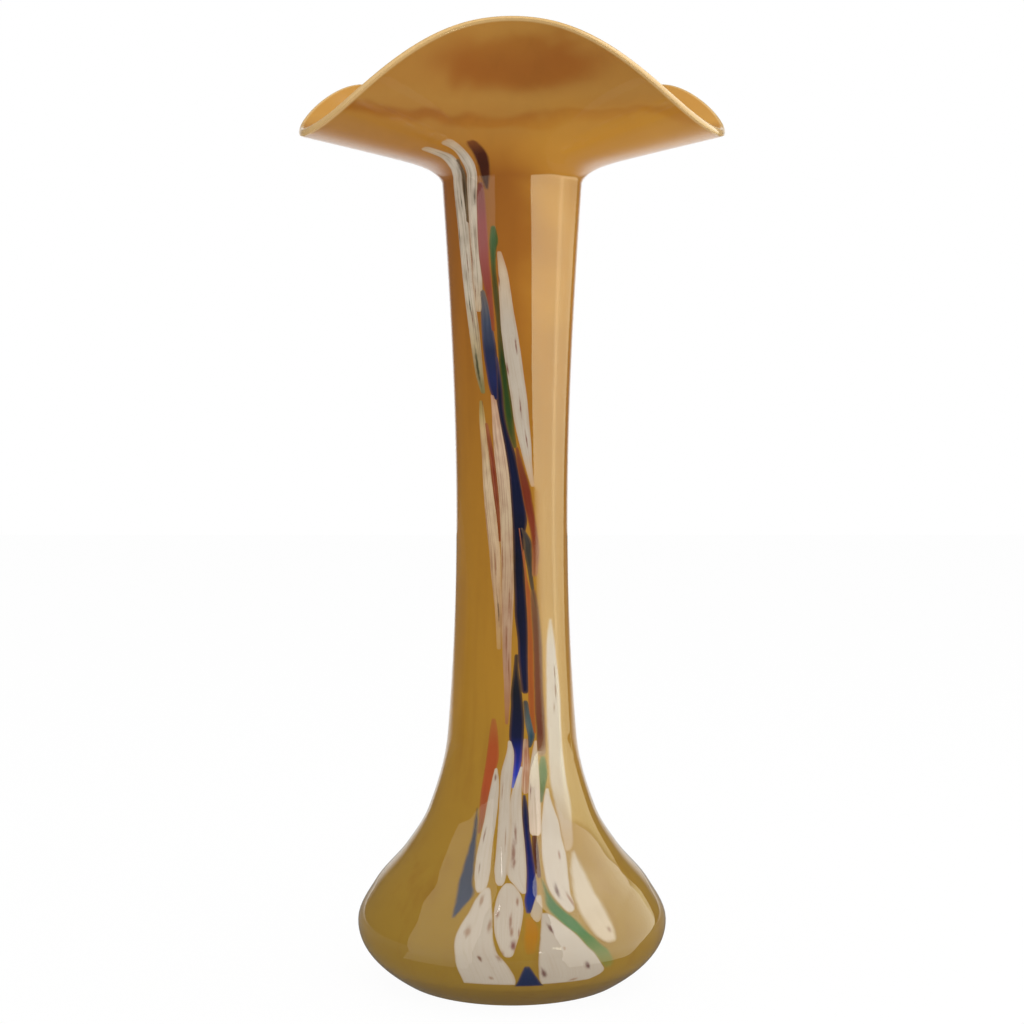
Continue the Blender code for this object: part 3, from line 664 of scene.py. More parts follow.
# Coloured glass laid into the lining: stations of place, turn from the front and width in degrees
# Specks and slits are place, turn, length and width in millimetres, and tones run from the top end down
# A chip cut off by the foot's edge keeps a square end
cream = (184, 172, 156)
plainGlass = dict(streak=0.5, streakColor=(164, 134, 110), speckColor=(112, 68, 62), slitColor=(60, 56, 44),
                  feather=0.45, rim=0.0, specks=(), slits=(), cut=False)
slotGlass = dict(
    white_glass=dict(tones=((0, cream), (1, cream)), streak=0.34, streakColor=(160, 138, 112),
                     speckColor=(150, 122, 100), rim=0.56),
    mauve_glass=dict(streak=0.3),
    cobalt_glass=dict(streak=0.3),
    orange_glass=dict(streak=0.3),
)
inlays = (
    dict(name="white_trail_outer", slot="white_glass", streak=0.62, streakColor=(104, 84, 62),
         speckColor=(120, 72, 44), slitColor=(56, 58, 38), rim=0.0,
         tones=((0, (190, 160, 122)), (0.12, (206, 194, 176)), (0.62, (204, 192, 172)),
                (0.82, (186, 166, 130)), (1, (122, 116, 66))),
         specks=((0.889, -45.4, 5.39, 0.27), (0.814, -42, 3.85, 0.31)),
         slits=((0.969, -49.3, 3.46, 0.31), (0.924, -54.6, 3.08, 0.27), (0.971, -44.9, 6.93, 0.35),
                (0.831, -44.6, 4.24, 0.31), (0.75, -37.6, 7.7, 0.62)),
         stations=((1.33, -48.5, 3), (1.25, -47, 4.6), (1.166, -45.5, 7.2), (1.07, -48.5, 10.5),
                   (1.02, -52, 11.5), (0.994, -52.7, 11.5), (0.964, -50.9, 12.6), (0.934, -48.9, 13.2),
                   (0.905, -48, 12.6), (0.852, -45.6, 11.3), (0.798, -40.8, 11.5), (0.744, -36, 8.7),
                   (0.715, -31.6, 3.6))),
    dict(name="white_trail_inner", slot="white_glass", streak=0.62, streakColor=(110, 88, 66),
         speckColor=(116, 74, 52), slitColor=(74, 66, 52), rim=0.0, slits=((0.975, -34.2, 3.46, 0.31),),
         tones=((0, (188, 156, 118)), (0.15, (206, 194, 176)), (0.8, (200, 186, 164)), (1, (196, 172, 140))),
         specks=((0.894, -39.7, 6.16, 0.31), (0.848, -37.1, 3.46, 0.27)),
         stations=((1.3, -37.5, 5.2), (1.2, -35, 4.8), (1.09, -35, 8), (1.03, -35.8, 9), (0.991, -36.4, 9.4),
                   (0.962, -36.8, 8.6), (0.933, -36.7, 7.7), (0.904, -36, 7.8), (0.864, -34.4, 9),
                   (0.824, -33.8, 5.8))),
    dict(name="dark_thread", slot="aubergine_glass", streak=0.4, streakColor=(150, 132, 104), feather=0.35,
         tones=((0, (92, 70, 46)), (0.5, (66, 56, 42)), (1, (96, 76, 52))),
         stations=((1.118, -41.5, 2.6), (1.05, -44.5, 4), (0.971, -44, 4.1), (0.942, -43.2, 2.4))),
    dict(name="aubergine_trail", slot="aubergine_glass", streak=0.3, streakColor=(98, 44, 24), feather=1.5,
         tones=((0, (126, 72, 30)), (0.35, (66, 32, 20)), (1, (58, 26, 16))),
         stations=((1.24, -26.2, 5.2), (1.14, -23.2, 10), (1.068, -22.9, 10), (1.011, -23.1, 8.9),
                   (0.984, -22.1, 2.3))),
    dict(name="mauve_trail", slot="mauve_glass", streakColor=(104, 52, 50), feather=0.7,
         tones=((0, (120, 70, 62)), (0.25, (146, 72, 74)), (0.6, (142, 68, 60)), (1, (140, 70, 42))),
         stations=((0.991, -27.8, 3.8), (0.974, -28, 7.3), (0.947, -27.7, 8.4), (0.916, -27.4, 9.6),
                   (0.89, -26.8, 9.2), (0.861, -24, 7.7), (0.837, -21.6, 5.1), (0.797, -19.1, 3.1))),
    dict(name="green_trail", slot="green_glass", streak=0.3, streakColor=(40, 52, 26), feather=0.6,
         tones=((0, (58, 92, 46)), (0.14, (50, 82, 40)), (0.24, (70, 70, 36)), (0.5, (78, 68, 32)),
                (0.6, (40, 58, 26)), (0.85, (44, 68, 28)), (1, (84, 78, 38))),
         stations=((0.933, -17.1, 2.8), (0.916, -16.7, 7), (0.9, -17.6, 4.8), (0.874, -17.2, 3.4),
                   (0.842, -15.2, 4.4), (0.806, -13.1, 3.5), (0.777, -11.1, 5.1), (0.748, -9, 6.7),
                   (0.72, -6.5, 6.8), (0.691, -4, 7.9), (0.664, -1.3, 6.9), (0.642, 3, 2.7))),
    dict(name="blue_trail", slot="cobalt_glass", streak=0.4, streakColor=(40, 42, 66), slitColor=(18, 20, 40),
         feather=0.6,
         tones=((0, (112, 104, 94)), (0.3, (74, 80, 96)), (0.55, (40, 46, 72)), (0.8, (34, 40, 82)),
                (1, (26, 30, 66))),
         slits=((0.768, -15.2, 3.85, 0.62), (0.739, -14.5, 4.62, 0.69)),
         stations=((0.849, -29.7, 4.2), (0.823, -26.6, 9.2), (0.797, -25, 11.7), (0.771, -23, 13.3),
                   (0.745, -20.9, 12), (0.72, -18.8, 9.5), (0.706, -16.9, 4.3))),
    dict(name="white_trail_right", slot="white_glass", speckColor=(112, 56, 40), rim=0.0,
         tones=((0, (184, 150, 118)), (0.1, (200, 178, 150)), (0.3, cream), (0.85, cream),
                (1, (196, 160, 122))),
         specks=((0.776, 4, 3.46, 0.31), (0.745, -4.6, 2.7, 0.31), (0.864, -12.3, 3.08, 0.31),
                 (0.694, 9, 4.62, 0.27), (0.651, 15.7, 3.85, 0.27)),
         stations=((0.899, -11.7, 2.3), (0.875, -8.7, 7.1), (0.848, -6.9, 10), (0.821, -5.1, 12.2),
                   (0.792, -2.7, 15.4), (0.762, 0.3, 16.7), (0.733, 3.9, 16), (0.705, 7.6, 15.3),
                   (0.676, 10.4, 14.5), (0.647, 14.4, 11.6), (0.618, 18.2, 6.8), (0.591, 22.9, 2.4))),
    dict(name="white_strand_left", slot="white_glass", streak=0.6, streakColor=(136, 94, 66),
         speckColor=(140, 94, 64), slitColor=(92, 66, 44), rim=0.0,
         tones=((0, (150, 138, 72)), (0.12, (196, 166, 120)), (0.3, (204, 180, 146)), (0.6, (196, 168, 134)),
                (0.8, (186, 154, 118)), (1, (176, 138, 84))),
         specks=((0.544, -29.1, 6.93, 0.27), (0.485, -18.3, 5.39, 0.27)),
         slits=((0.707, -32.3, 3.08, 0.46), (0.471, -26.4, 5.39, 0.27), (0.425, -14.6, 5.39, 0.31)),
         stations=((0.702, -34.3, 2.5), (0.675, -33, 6.2), (0.631, -29.9, 7.4), (0.587, -26.9, 10.3),
                   (0.544, -23.1, 11.9), (0.502, -19.3, 11), (0.475, -18, 9.7), (0.446, -16.1, 7.3),
                   (0.417, -14.2, 6), (0.375, -13.6, 3.2))),
    dict(name="red_thread", slot="rust_glass", streakColor=(164, 100, 72), feather=0.4,
         tones=((0, (140, 82, 52)), (0.3, (118, 44, 28)), (0.7, (104, 36, 22)), (1, (122, 52, 28))),
         stations=((0.672, -28.4, 3), (0.631, -22.6, 4.6), (0.587, -18.6, 5.2), (0.545, -14.7, 2.8),
                   (0.518, -13.5, 1.7))),
    dict(name="white_strand_right", slot="white_glass", streak=0.6, streakColor=(136, 90, 68),
         speckColor=(132, 84, 58), rim=0.0,
         tones=((0, (190, 148, 120)), (0.12, (204, 176, 148)), (0.35, (190, 168, 138)),
                (0.6, (178, 150, 120)), (0.8, (172, 138, 112)), (1, (150, 98, 60))),
         specks=((0.492, -10.4, 7.7, 0.31), (0.441, -2.7, 6.16, 0.27), (0.386, -5.8, 6.93, 0.27),
                 (0.349, -3.6, 5.39, 0.27)),
         stations=((0.71, -20.4, 2.8), (0.688, -17.6, 6.6), (0.66, -15.4, 9.4), (0.631, -12.5, 12.1),
                   (0.602, -9.6, 12.7), (0.574, -7.7, 12.1), (0.545, -6.3, 12.7), (0.505, -5.5, 12.1),
                   (0.476, -4.9, 12), (0.447, -4.9, 11.9), (0.417, -5.3, 10.7), (0.388, -5.3, 8.4),
                   (0.359, -5.2, 7.2), (0.332, -4.5, 6.1), (0.307, -4.7, 4.5), (0.277, -5.1, 1.4))),
    dict(name="navy_trail", slot="navy_glass", streak=0.4, streakColor=(26, 30, 64),
         tones=((0, (44, 50, 84)), (0.12, (20, 24, 44)), (0.4, (18, 22, 46)), (0.6, (16, 18, 30)),
                (1, (24, 26, 50))),
         stations=((0.761, -16.3, 1.7), (0.745, -14.5, 3), (0.72, -13.2, 6.1), (0.688, -11.4, 5.9),
                   (0.66, -6.9, 6.4), (0.631, -1.4, 9.2), (0.602, 2.7, 10.9), (0.574, 5.8, 13.7),
                   (0.545, 8.3, 15.5), (0.517, 7.2, 11), (0.476, 7.7, 11), (0.446, 9, 11.5),
                   (0.417, 9.9, 12.4), (0.388, 11.4, 10.1), (0.359, 11.7, 8.9), (0.331, 12.7, 7.2),
                   (0.317, 13.3, 5.6))),
    dict(name="slate_thread", slot="navy_glass", streakColor=(40, 42, 40), feather=0.5,
         tones=((0, (70, 62, 60)), (0.4, (52, 52, 46)), (1, (84, 72, 56))),
         stations=((0.534, 10.5, 2.2), (0.517, 16.9, 7.5), (0.502, 18, 7.6), (0.479, 20.1, 4.6),
                   (0.459, 22, 3.1), (0.427, 26.3, 1.7))),
    dict(name="rust_trail", slot="rust_glass", streak=0.4, streakColor=(92, 36, 22), feather=0.9,
         tones=((0, (116, 66, 40)), (0.35, (112, 46, 28)), (0.7, (126, 56, 34)), (1, (156, 104, 66))),
         stations=((0.64, 5.4, 2.2), (0.616, 9, 7.1), (0.587, 14.9, 10.1), (0.559, 19.3, 9.8),
                   (0.53, 24.6, 7.8), (0.502, 26.9, 9.1), (0.471, 25.2, 7.2))),
    dict(name="orange_trail", slot="orange_glass", streakColor=(120, 58, 30),
         tones=((0, (150, 82, 56)), (0.3, (152, 80, 42)), (1, (150, 80, 36))),
         stations=((0.534, 7.9, 1.5), (0.502, 11.4, 2.9), (0.472, 14.8, 1.1), (0.446, 17.5, 4.5),
                   (0.417, 18.7, 3.9), (0.388, 19.5, 5), (0.359, 19.4, 5.4), (0.331, 19.5, 5.3),
                   (0.306, 19.6, 5.2), (0.286, 20, 4.6), (0.264, 22.1, 1.5))),
    dict(name="mauve_brown_trail", slot="mauve_glass", streakColor=(108, 66, 50), feather=0.9,
         tones=((0, (118, 84, 56)), (0.2, (108, 72, 50)), (0.6, (110, 66, 46)), (0.86, (100, 54, 38)),
                (1, (132, 92, 62))),
         stations=((0.451, 23.3, 4.7), (0.431, 24.9, 8.2), (0.402, 26.9, 9.4), (0.374, 27.9, 9.9),
                   (0.345, 27.8, 9.7), (0.316, 27.7, 9.5), (0.292, 28, 9.9), (0.266, 28.6, 9.1),
                   (0.246, 28.5, 8.9), (0.234, 28.6, 7.2))),
    dict(name="navy_pool", slot="navy_glass", streak=0.3, streakColor=(30, 34, 64),
         tones=((0, (40, 38, 36)), (0.3, (24, 26, 34)), (0.62, (20, 24, 50)), (0.78, (30, 40, 120)),
                (0.9, (40, 60, 172)), (1, (96, 116, 184))),
         stations=((0.365, 4.6, 2.1), (0.346, 4.1, 4.1), (0.317, 4.3, 9.5), (0.299, 4.9, 10.8),
                   (0.279, 4.9, 12.6), (0.256, 4.3, 12.3), (0.24, 5.6, 7.4), (0.228, 5.2, 5.9),
                   (0.214, 3.7, 4.8), (0.196, 1, 1.2))),
    dict(name="teal_thread", slot="navy_glass", streakColor=(30, 40, 46), feather=0.4,
         tones=((0, (54, 62, 66)), (0.5, (84, 98, 98)), (0.75, (44, 72, 84)), (1, (48, 60, 66))),
         stations=((0.304, 13.4, 3), (0.279, 16.1, 6), (0.259, 18.5, 5.5), (0.246, 16.8, 1.5))),
    dict(name="pink_thread", slot="mauve_glass", streak=0.7, streakColor=(206, 184, 158), feather=0.4,
         tones=((0, (128, 80, 52)), (0.4, (160, 108, 82)), (1, (168, 128, 98))),
         stations=((0.254, 13, 3.4), (0.239, 12.8, 5.2), (0.222, 12.6, 6.4), (0.204, 11.3, 5.6),
                   (0.189, 11, 3.3))),
    dict(name="white_trail_lower_right", slot="white_glass", streak=0.25, streakColor=(164, 134, 110),
         speckColor=(116, 72, 54), feather=1.5, rim=0.0,
         tones=((0, (180, 160, 132)), (0.15, (182, 170, 160)), (0.7, (178, 164, 148)), (1, (168, 140, 98))),
         specks=((0.34, 48.3, 3.08, 0.39), (0.316, 48.6, 3.85, 0.46), (0.294, 45.5, 2.31, 0.35)),
         stations=((0.411, 44.7, 3.6), (0.386, 44.5, 11.4), (0.358, 44.7, 14.7), (0.329, 45.5, 18),
                   (0.301, 45.4, 19.6), (0.276, 44.8, 19), (0.249, 44.7, 18.5), (0.224, 44.2, 18.6),
                   (0.197, 42.9, 18.5), (0.172, 42.9, 16.5), (0.148, 41.2, 12), (0.125, 38, 7.9),
                   (0.117, 35.6, 3.5))),
    dict(name="orange_red_chip", slot="orange_glass", streak=0.25, streakColor=(132, 58, 32),
         tones=((0, (158, 96, 48)), (0.25, (160, 76, 38)), (0.6, (160, 74, 40)), (1, (128, 84, 54))),
         stations=((0.28, -17.9, 2.5), (0.266, -17.7, 6.5), (0.246, -17.8, 9.3), (0.227, -18.4, 10.4),
                   (0.207, -20.8, 7.7), (0.188, -21.9, 6.9), (0.17, -22.3, 5.3), (0.151, -22.3, 3.4),
                   (0.14, -23, 1.1))),
    dict(name="blue_grey_chip", slot="cobalt_glass", streakColor=(66, 72, 100), feather=1.9,
         tones=((0, (52, 52, 54)), (0.4, (52, 56, 72)), (1, (62, 68, 82))),
         stations=((0.167, -26.8, 1.7), (0.15, -26.2, 3.9), (0.127, -25.3, 5.1), (0.108, -24.5, 6.7),
                   (0.086, -23.5, 8.2), (0.073, -21.9, 8.9), (0.06, -22.8, 5.2), (0.046, -24.3, 1.1))),
    dict(name="white_chip_tall_left", slot="white_glass", streak=0.3, speckColor=(124, 92, 78),
         specks=((0.207, -14.3, 1.41, 0.44), (0.137, -18.6, 2.96, 0.3), (0.1, -17.9, 1.85, 0.26)),
         stations=((0.217, -14.5, 1.4), (0.201, -14.3, 5.6), (0.177, -15.3, 8), (0.151, -16.1, 8.1),
                   (0.132, -16.7, 8), (0.116, -16.7, 8.3), (0.096, -16, 7.9), (0.083, -15.2, 5.5),
                   (0.077, -15.2, 2.6))),
    dict(name="white_chip_tall_middle", slot="white_glass",
         specks=((0.192, -7.8, 3.4, 0.24), (0.133, -4.2, 3.83, 0.24)),
         stations=((0.252, -1.9, 1.9), (0.24, -1.4, 5.6), (0.214, -4.2, 9.2), (0.189, -5.5, 7.7),
                   (0.165, -5.4, 7.8), (0.14, -5.4, 8.1), (0.117, -5.5, 7.5), (0.097, -6, 6.1),
                   (0.085, -5.9, 2.5))),
    dict(name="white_chip_tall_right", slot="white_glass", streak=0.3, speckColor=(132, 98, 82),
         slitColor=(54, 62, 84), tones=((0, (196, 190, 184)), (0.2, cream), (1, cream)),
         specks=((0.14, 2.4, 2.96, 0.52), (0.119, 0.9, 4.07, 0.78), (0.107, 1.1, 1.85, 0.55)),
         slits=((0.089, -2.8, 1.29, 0.59), (0.086, -0.7, 0.74, 0.52)),
         stations=((0.219, 8.2, 1.3), (0.202, 5.1, 5.1), (0.177, 3.1, 7.8), (0.152, 3.2, 7.8),
                   (0.133, 3.4, 8.8), (0.117, 3.3, 8.9), (0.095, 2.6, 9.5), (0.082, 4.3, 4.3),
                   (0.077, 5.2, 1.6))),
    dict(name="white_chip_slim", slot="white_glass", speckColor=(112, 68, 62), rim=0.42,
         specks=((0.191, 15.3, 3.4, 0.19),),
         tones=((0, (196, 166, 134)), (0.2, cream), (1, (204, 184, 162))),
         stations=((0.251, 22.9, 1.5), (0.227, 20.8, 5.8), (0.201, 19.3, 8.9), (0.176, 17.8, 8.9),
                   (0.151, 16.5, 8.1), (0.138, 16.1, 7.3))),
    dict(name="aubergine_spot", slot="aubergine_glass", streakColor=(50, 24, 22), feather=0.5,
         tones=((0, (96, 62, 52)), (0.4, (72, 34, 30)), (1, (92, 56, 48))),
         stations=((0.136, 14.9, 2.4), (0.123, 14.6, 3.2), (0.108, 14.1, 2.6), (0.092, 14.1, 1.6))),
    dict(name="cobalt_chip", slot="cobalt_glass", streakColor=(26, 30, 84), feather=0.7,
         tones=((0, (40, 46, 62)), (0.25, (20, 26, 58)), (0.6, (22, 28, 84)), (0.85, (30, 42, 112)),
                (1, (40, 52, 98))),
         stations=((0.184, 9.8, 1.2), (0.165, 9.9, 4.1), (0.14, 10, 3.8), (0.117, 10.3, 3.9),
                   (0.097, 10.1, 4.3), (0.08, 9.4, 4.8), (0.068, 8.1, 4.7), (0.056, 7, 1.2))),
    dict(name="green_chip_small", slot="green_glass", streak=0.25, streakColor=(74, 96, 46), feather=0.7,
         tones=((0, (78, 88, 36)), (0.3, (42, 80, 22)), (0.7, (60, 86, 38)), (1, (82, 94, 50))),
         stations=((0.231, 29.2, 3.6), (0.219, 28.4, 7.4), (0.206, 27.8, 7.1), (0.194, 26, 4.5),
                   (0.177, 23.3, 1.3))),
    dict(name="white_chip_wide", slot="white_glass", streak=0.28, speckColor=(134, 96, 76),
         slitColor=(92, 58, 52), slits=((0.076, 21.3, 2.4, 0.81),),
         specks=((0.113, 28.8, 1.85, 0.52), (0.065, 26.4, 2.59, 0.67)),
         stations=((0.19, 29.9, 1.4), (0.175, 28.6, 6), (0.149, 28.1, 12.9), (0.13, 26.6, 13.7),
                   (0.114, 25.6, 14.6), (0.086, 23.4, 11.6), (0.072, 23, 8.4), (0.061, 24.3, 5.7),
                   (0.054, 24.7, 2.2))),
    dict(name="white_chip_outer", slot="white_glass", streak=0.2, feather=2.8, rim=0.35,
         tones=((0, (182, 168, 146)), (1, (192, 174, 146))), specks=((0.026, 39.6, 1.11, 0.96),),
         stations=((0.114, 38.6, 2.1), (0.097, 36.8, 9.1), (0.083, 35.6, 11.2), (0.068, 34.5, 12.7),
                   (0.053, 34.9, 13.7), (0.038, 36.2, 12.5), (0.021, 37.6, 10), (0.01, 39.3, 3.3))),
    dict(name="green_chip_long", slot="green_glass", streak=0.2, streakColor=(62, 98, 46), feather=2.2,
         tones=((0, (60, 84, 34)), (0.3, (24, 88, 14)), (0.55, (36, 94, 20)), (0.8, (100, 112, 46)),
                (1, (140, 122, 58))),
         stations=((0.088, 15.4, 1.3), (0.073, 16.4, 3.8), (0.059, 18, 6.6), (0.043, 22.6, 7.6),
                   (0.026, 27.7, 6), (0.007, 32.1, 7), (-0.191, 36.7, 6.6), (-0.344, 38, 2.5))),
    dict(name="white_chip_foot_left", slot="white_glass", streak=0.22, slitColor=(112, 76, 58), feather=0.8,
         cut=True, slits=((-0.007, -11.6, 1.11, 0.74),),
         specks=((0.067, -13.5, 1.85, 0.81), (0.032, -17.1, 2, 1.33), (-0.288, -20.5, 1.04, 0.55),
                 (-0.39, -7.7, 0.74, 0.89), (0.04, -8.8, 2.07, 0.81), (0.001, -4.8, 1.26, 0.96)),
         stations=((0.079, -12, 2.2), (0.068, -12.7, 6.7), (0.052, -13.1, 9.8), (0.038, -14, 12.5),
                   (0.023, -14.2, 14.4), (0.005, -12.9, 15.8), (-0.179, -10.6, 19.1), (-0.41, -8.9, 19.7),
                   (-0.6, -8.6, 19))),
    dict(name="white_chip_oval", slot="white_glass", streak=0.24, speckColor=(146, 114, 94),
         slitColor=(108, 56, 56), slits=((0.018, 0.5, 1.85, 1.11),),
         specks=((0.053, -5.9, 1.26, 0.67), (0.045, -0.6, 2.96, 0.59), (0.067, 2.4, 1.48, 0.59),
                 (0.034, -0.2, 1.63, 0.67), (0.032, 2.6, 2.22, 0.37), (0.007, -3.7, 1.33, 0.89)),
         stations=((0.084, -1.7, 2.9), (0.075, -1.3, 9.4), (0.061, -1.3, 11.5), (0.046, -1.6, 10.8),
                   (0.032, -1.8, 8.9), (0.017, -1.7, 5.6), (0.004, -1.4, 2.1))),
    dict(name="white_chip_small", slot="white_glass", streak=0.2, streakColor=(164, 134, 110),
         speckColor=(112, 68, 62), rim=0.42, tones=((0, (170, 158, 140)), (1, (178, 158, 128))),
         stations=((0.071, 12, 1.4), (0.063, 10.8, 3.9), (0.054, 10.1, 4.2), (0.046, 9.8, 2.4))),
    dict(name="orange_chip", slot="orange_glass", streakColor=(150, 92, 40), feather=1.8,
         tones=((0, (160, 114, 44)), (0.5, (160, 108, 28)), (1, (148, 108, 38))),
         stations=((0.049, 6.7, 3.2), (0.036, 7.6, 5.6), (0.022, 7, 5.2), (0.007, 6.4, 3.2))),
    dict(name="white_chip_foot_right", slot="white_glass", streak=0.22, slitColor=(98, 64, 58), feather=1.0,
         cut=True, tones=((0, (176, 165, 150)), (1, (178, 166, 150))),
         specks=((0.012, 19.3, 0.81, 0.55), (-0.506, 23.6, 0.63, 1.67)),
         slits=((0.036, 15, 1.55, 0.89), (-0.289, 11.6, 1.63, 1.04), (-0.218, 28.4, 1.41, 1.04)),
         stations=((0.052, 13.7, 1.9), (0.045, 15.1, 6.6), (0.029, 17.6, 13.5), (0.013, 19.1, 18.2),
                   (-0.096, 21.2, 23.1), (-0.401, 23.1, 25.9), (-0.6, 20.5, 18))),
    dict(name="cobalt_chip_foot", slot="cobalt_glass", streakColor=(30, 38, 84), feather=0.8, cut=True,
         tones=((0, (38, 48, 72)), (1, (24, 34, 66))),
         stations=((-0.174, 5.4, 1.1), (-0.34, 5.8, 5.5), (-0.66, 6.6, 11))),
)


laid = dict(
    pitch=0.0003,           # spacing of the points of a chip
    spread=0.00060,         # neighbours run into each other by this much
    tip=0.0009,             # and their ends by this much
    proud=0.00005,          # the crown over the amber's skin, and the sunk border below it
    sink=0.00004,
    body=0.0004,
    rise=0.7,               # millimetres from the border to the crown
    opening=0.6,            # share of its run by which the flare opens
    knotSteps=40,
    tableRows=3001,
    leastHalf=0.004,        # half the width of the finest thread, in radians
    leastTip=0.0006,
    longCounts=(20, 330),   # fewest and most points along and across a chip
    wideCounts=(8, 100),
)
millimetres = 1000.0        # in a metre


# Length along the wall from the bulb
def placeLength(place):
    radius, height, slope, run = outerRows(place)
    return np.where(np.asarray(place) < 0, np.asarray(place) * wall["footRun"], height - heights[0] + run)


tablePlaces = np.linspace(-1, 2, laid["tableRows"])
tableLengths = placeLength(tablePlaces)


# Passes smoothly through the stations
def smoothStations(stations, cut):
    knots = np.array(sorted(stations), float)
    knots[:, 0] = placeLength(knots[:, 0])
    for end, beside in ((-1, -2),) if cut else ((-1, -2), (0, 1)):
        step = knots[end] - knots[beside]
        knots[end, :2] += step[:2] * laid["tip"] / abs(step[0])
    padded = np.vstack([2 * knots[0] - knots[1], knots, 2 * knots[-1] - knots[-2]])
    t = np.linspace(0, len(knots) - 1, laid["knotSteps"] * (len(knots) - 1) + 1)
    i = np.clip(t.astype(int), 0, len(knots) - 2)
    u = (t - i)[:, None]
    before, start, end, after = (padded[i + step] for step in range(4))
    curve = 2 * start + (end - before) * u + (2 * before - 5 * start + 4 * end - after) * u**2
    return 0.5 * (curve + (3 * start - before - 3 * end + after) * u**3)


def buildInlay(chip, seed):
    cut = chip["cut"]
    curve = smoothStations(chip["stations"], cut)
    along = np.interp(curve[:, 0], tableLengths, tablePlaces)
    skin = outerRows(along)
    radius = skin[0] - skinDepth(along) + skin[3] * laid["opening"]
    swing = np.diff(np.radians(curve[:, 1])) * radius[1:]
    travel = np.concatenate([[0.0], np.cumsum(np.hypot(np.diff(curve[:, 0]), swing))])
    count = int(np.clip(travel[-1] / laid["pitch"], *laid["longCounts"]))
    even = np.linspace(0, travel[-1], count)
    place, angle, width = (np.interp(even, travel, data) for data in (along, curve[:, 1], curve[:, 2]))
    around = np.interp(even, travel, radius)
    half = np.maximum(np.radians(width) / 2, laid["leastHalf"]) + laid["spread"] / around
    for end in (travel[-1] - even,) if cut else (travel[-1] - even, even):           # rounds the tips
        reach = np.maximum(half[0 if end is even else -1] * around, laid["leastTip"])
        half = half * np.sqrt(np.clip(1 - (1 - np.clip(end / reach, 0, 1)) ** 2, 0, 1))
    columns = int(np.clip(2 * (half * around).max() / laid["pitch"], *laid["wideCounts"])) | 1
    across = np.linspace(-1, 1, columns)
    toSide = (1 - np.abs(across))[None, :] * (half * around)[:, None]
    edge = np.minimum(toSide, np.minimum(even, travel[-1] - even)[:, None]) * millimetres
    share = np.clip(edge / laid["rise"], 0, 1)
    share = share * share * (3 - 2 * share)
    rows = sunkRows(place, skinDepth, wall["clearFloor"])
    border = rows[4][:, None] + laid["sink"]
    crown = border - (laid["sink"] + laid["proud"]) * share
    under = border + laid["body"] * share
    turn = np.radians(angle)[:, None] + across[None, :] * half[:, None]

    def twice(data):
        return np.tile(np.broadcast_to(data, (count, columns)).ravel(), 2)

    values = {label: twice(data[:, None]) for label, data in zip(rowLabels, rows)}
    values["depth"] = np.concatenate([crown.ravel(), under.ravel()])
    values["turn"] = twice(turn)
    values["bore"] = twice(np.zeros((1, 1)))
    values["edge"] = twice(edge)
    values["along"] = twice(1 - (even / even[-1])[:, None])
    for label in ("speck", "slit"):
        marked = np.zeros((count, columns))
        for spotPlace, spotTurn, spotLong, spotWide in chip[label + "s"]:
            up = (placeLength(place) - placeLength(spotPlace))[:, None] * millimetres
            centre = np.radians(spotTurn + angle - np.interp(spotPlace, place, angle))
            aside = (turn - centre[:, None]) * around[:, None] * millimetres
            marked = np.maximum(marked, np.exp(-(up / spotLong) ** 2 - (aside / spotWide) ** 2))
        values[label] = twice(marked)
    wide = across[None, :] * half[:, None] * around[:, None] * millimetres
    long = np.broadcast_to(even[:, None] * millimetres, wide.shape)
    flow = np.stack([wide, long, np.full(wide.shape, float(seed))], axis=-1).reshape(-1, 3)
    vectors = {"flow": np.concatenate([flow, flow])}
    faces = np.vstack([sheetFaces(count, columns), sheetFaces(count, columns, count * columns, True)])
    glass = inlayMaterial(chip)
    piece = blowPiece(chip["name"] + "_glass", faces, values, vectors, glass, glass)
    finishPiece(piece, chip["name"])


for number, inlay in enumerate(inlays):
    buildInlay({**plainGlass, **slotGlass.get(inlay["slot"], {}), **inlay}, number + 1)
print("inlays:", len(inlays))


# Stage: a white table, curved screens seen only in reflections, two soft panels and a white room
# A range of the table or the room is a distance's first and last value and the light at both
table = dict(
    corners=((-3, -0.14), (3, -0.14), (3, 3), (-3, 3)),
    drop=0.0004,                        # a little below the foot
    color=(0.86, 0.86, 0.86, 1.0),
    roughness=0.6,
    depthRange=(0.15, 0.8, 0.25, 1.0),
    # painted shadow: the table seen in reflections is darker near the foot, where the vase's shadow falls
    paintedShadowRange=(0.06, 0.16, 0.5, 1.0),
    asideRange=(0.35, 0.8, 1.0, 0.15),
    underRange=(0.05, 0.11, 0.5, 0.0),  # painted light: the table near the foot glows for diffuse rays and lights the foot from below
    seen=0.96,
)
room = dict(
    wallRange=(0.85, 0.97, 0.10, 1.0),  # the white wall is behind, the rest of the room is dim
    light=0.9,
)
panels = (
    dict(name="topSoft", place=(0.1, -0.3, 1.5), size=1.2, radiance=1.9, color=(1.0, 0.99, 0.97)),
    dict(name="rightSoft", place=(0.9, -0.6, 0.5), size=0.8, radiance=1.2, color=(1.0, 0.98, 0.94)),
)
panelAim = (0.0, 0.0, 0.2)
camera = dict(sensor=36.0, lens=63.28, shift=-0.080, place=(0.0, -0.720, 0.216))

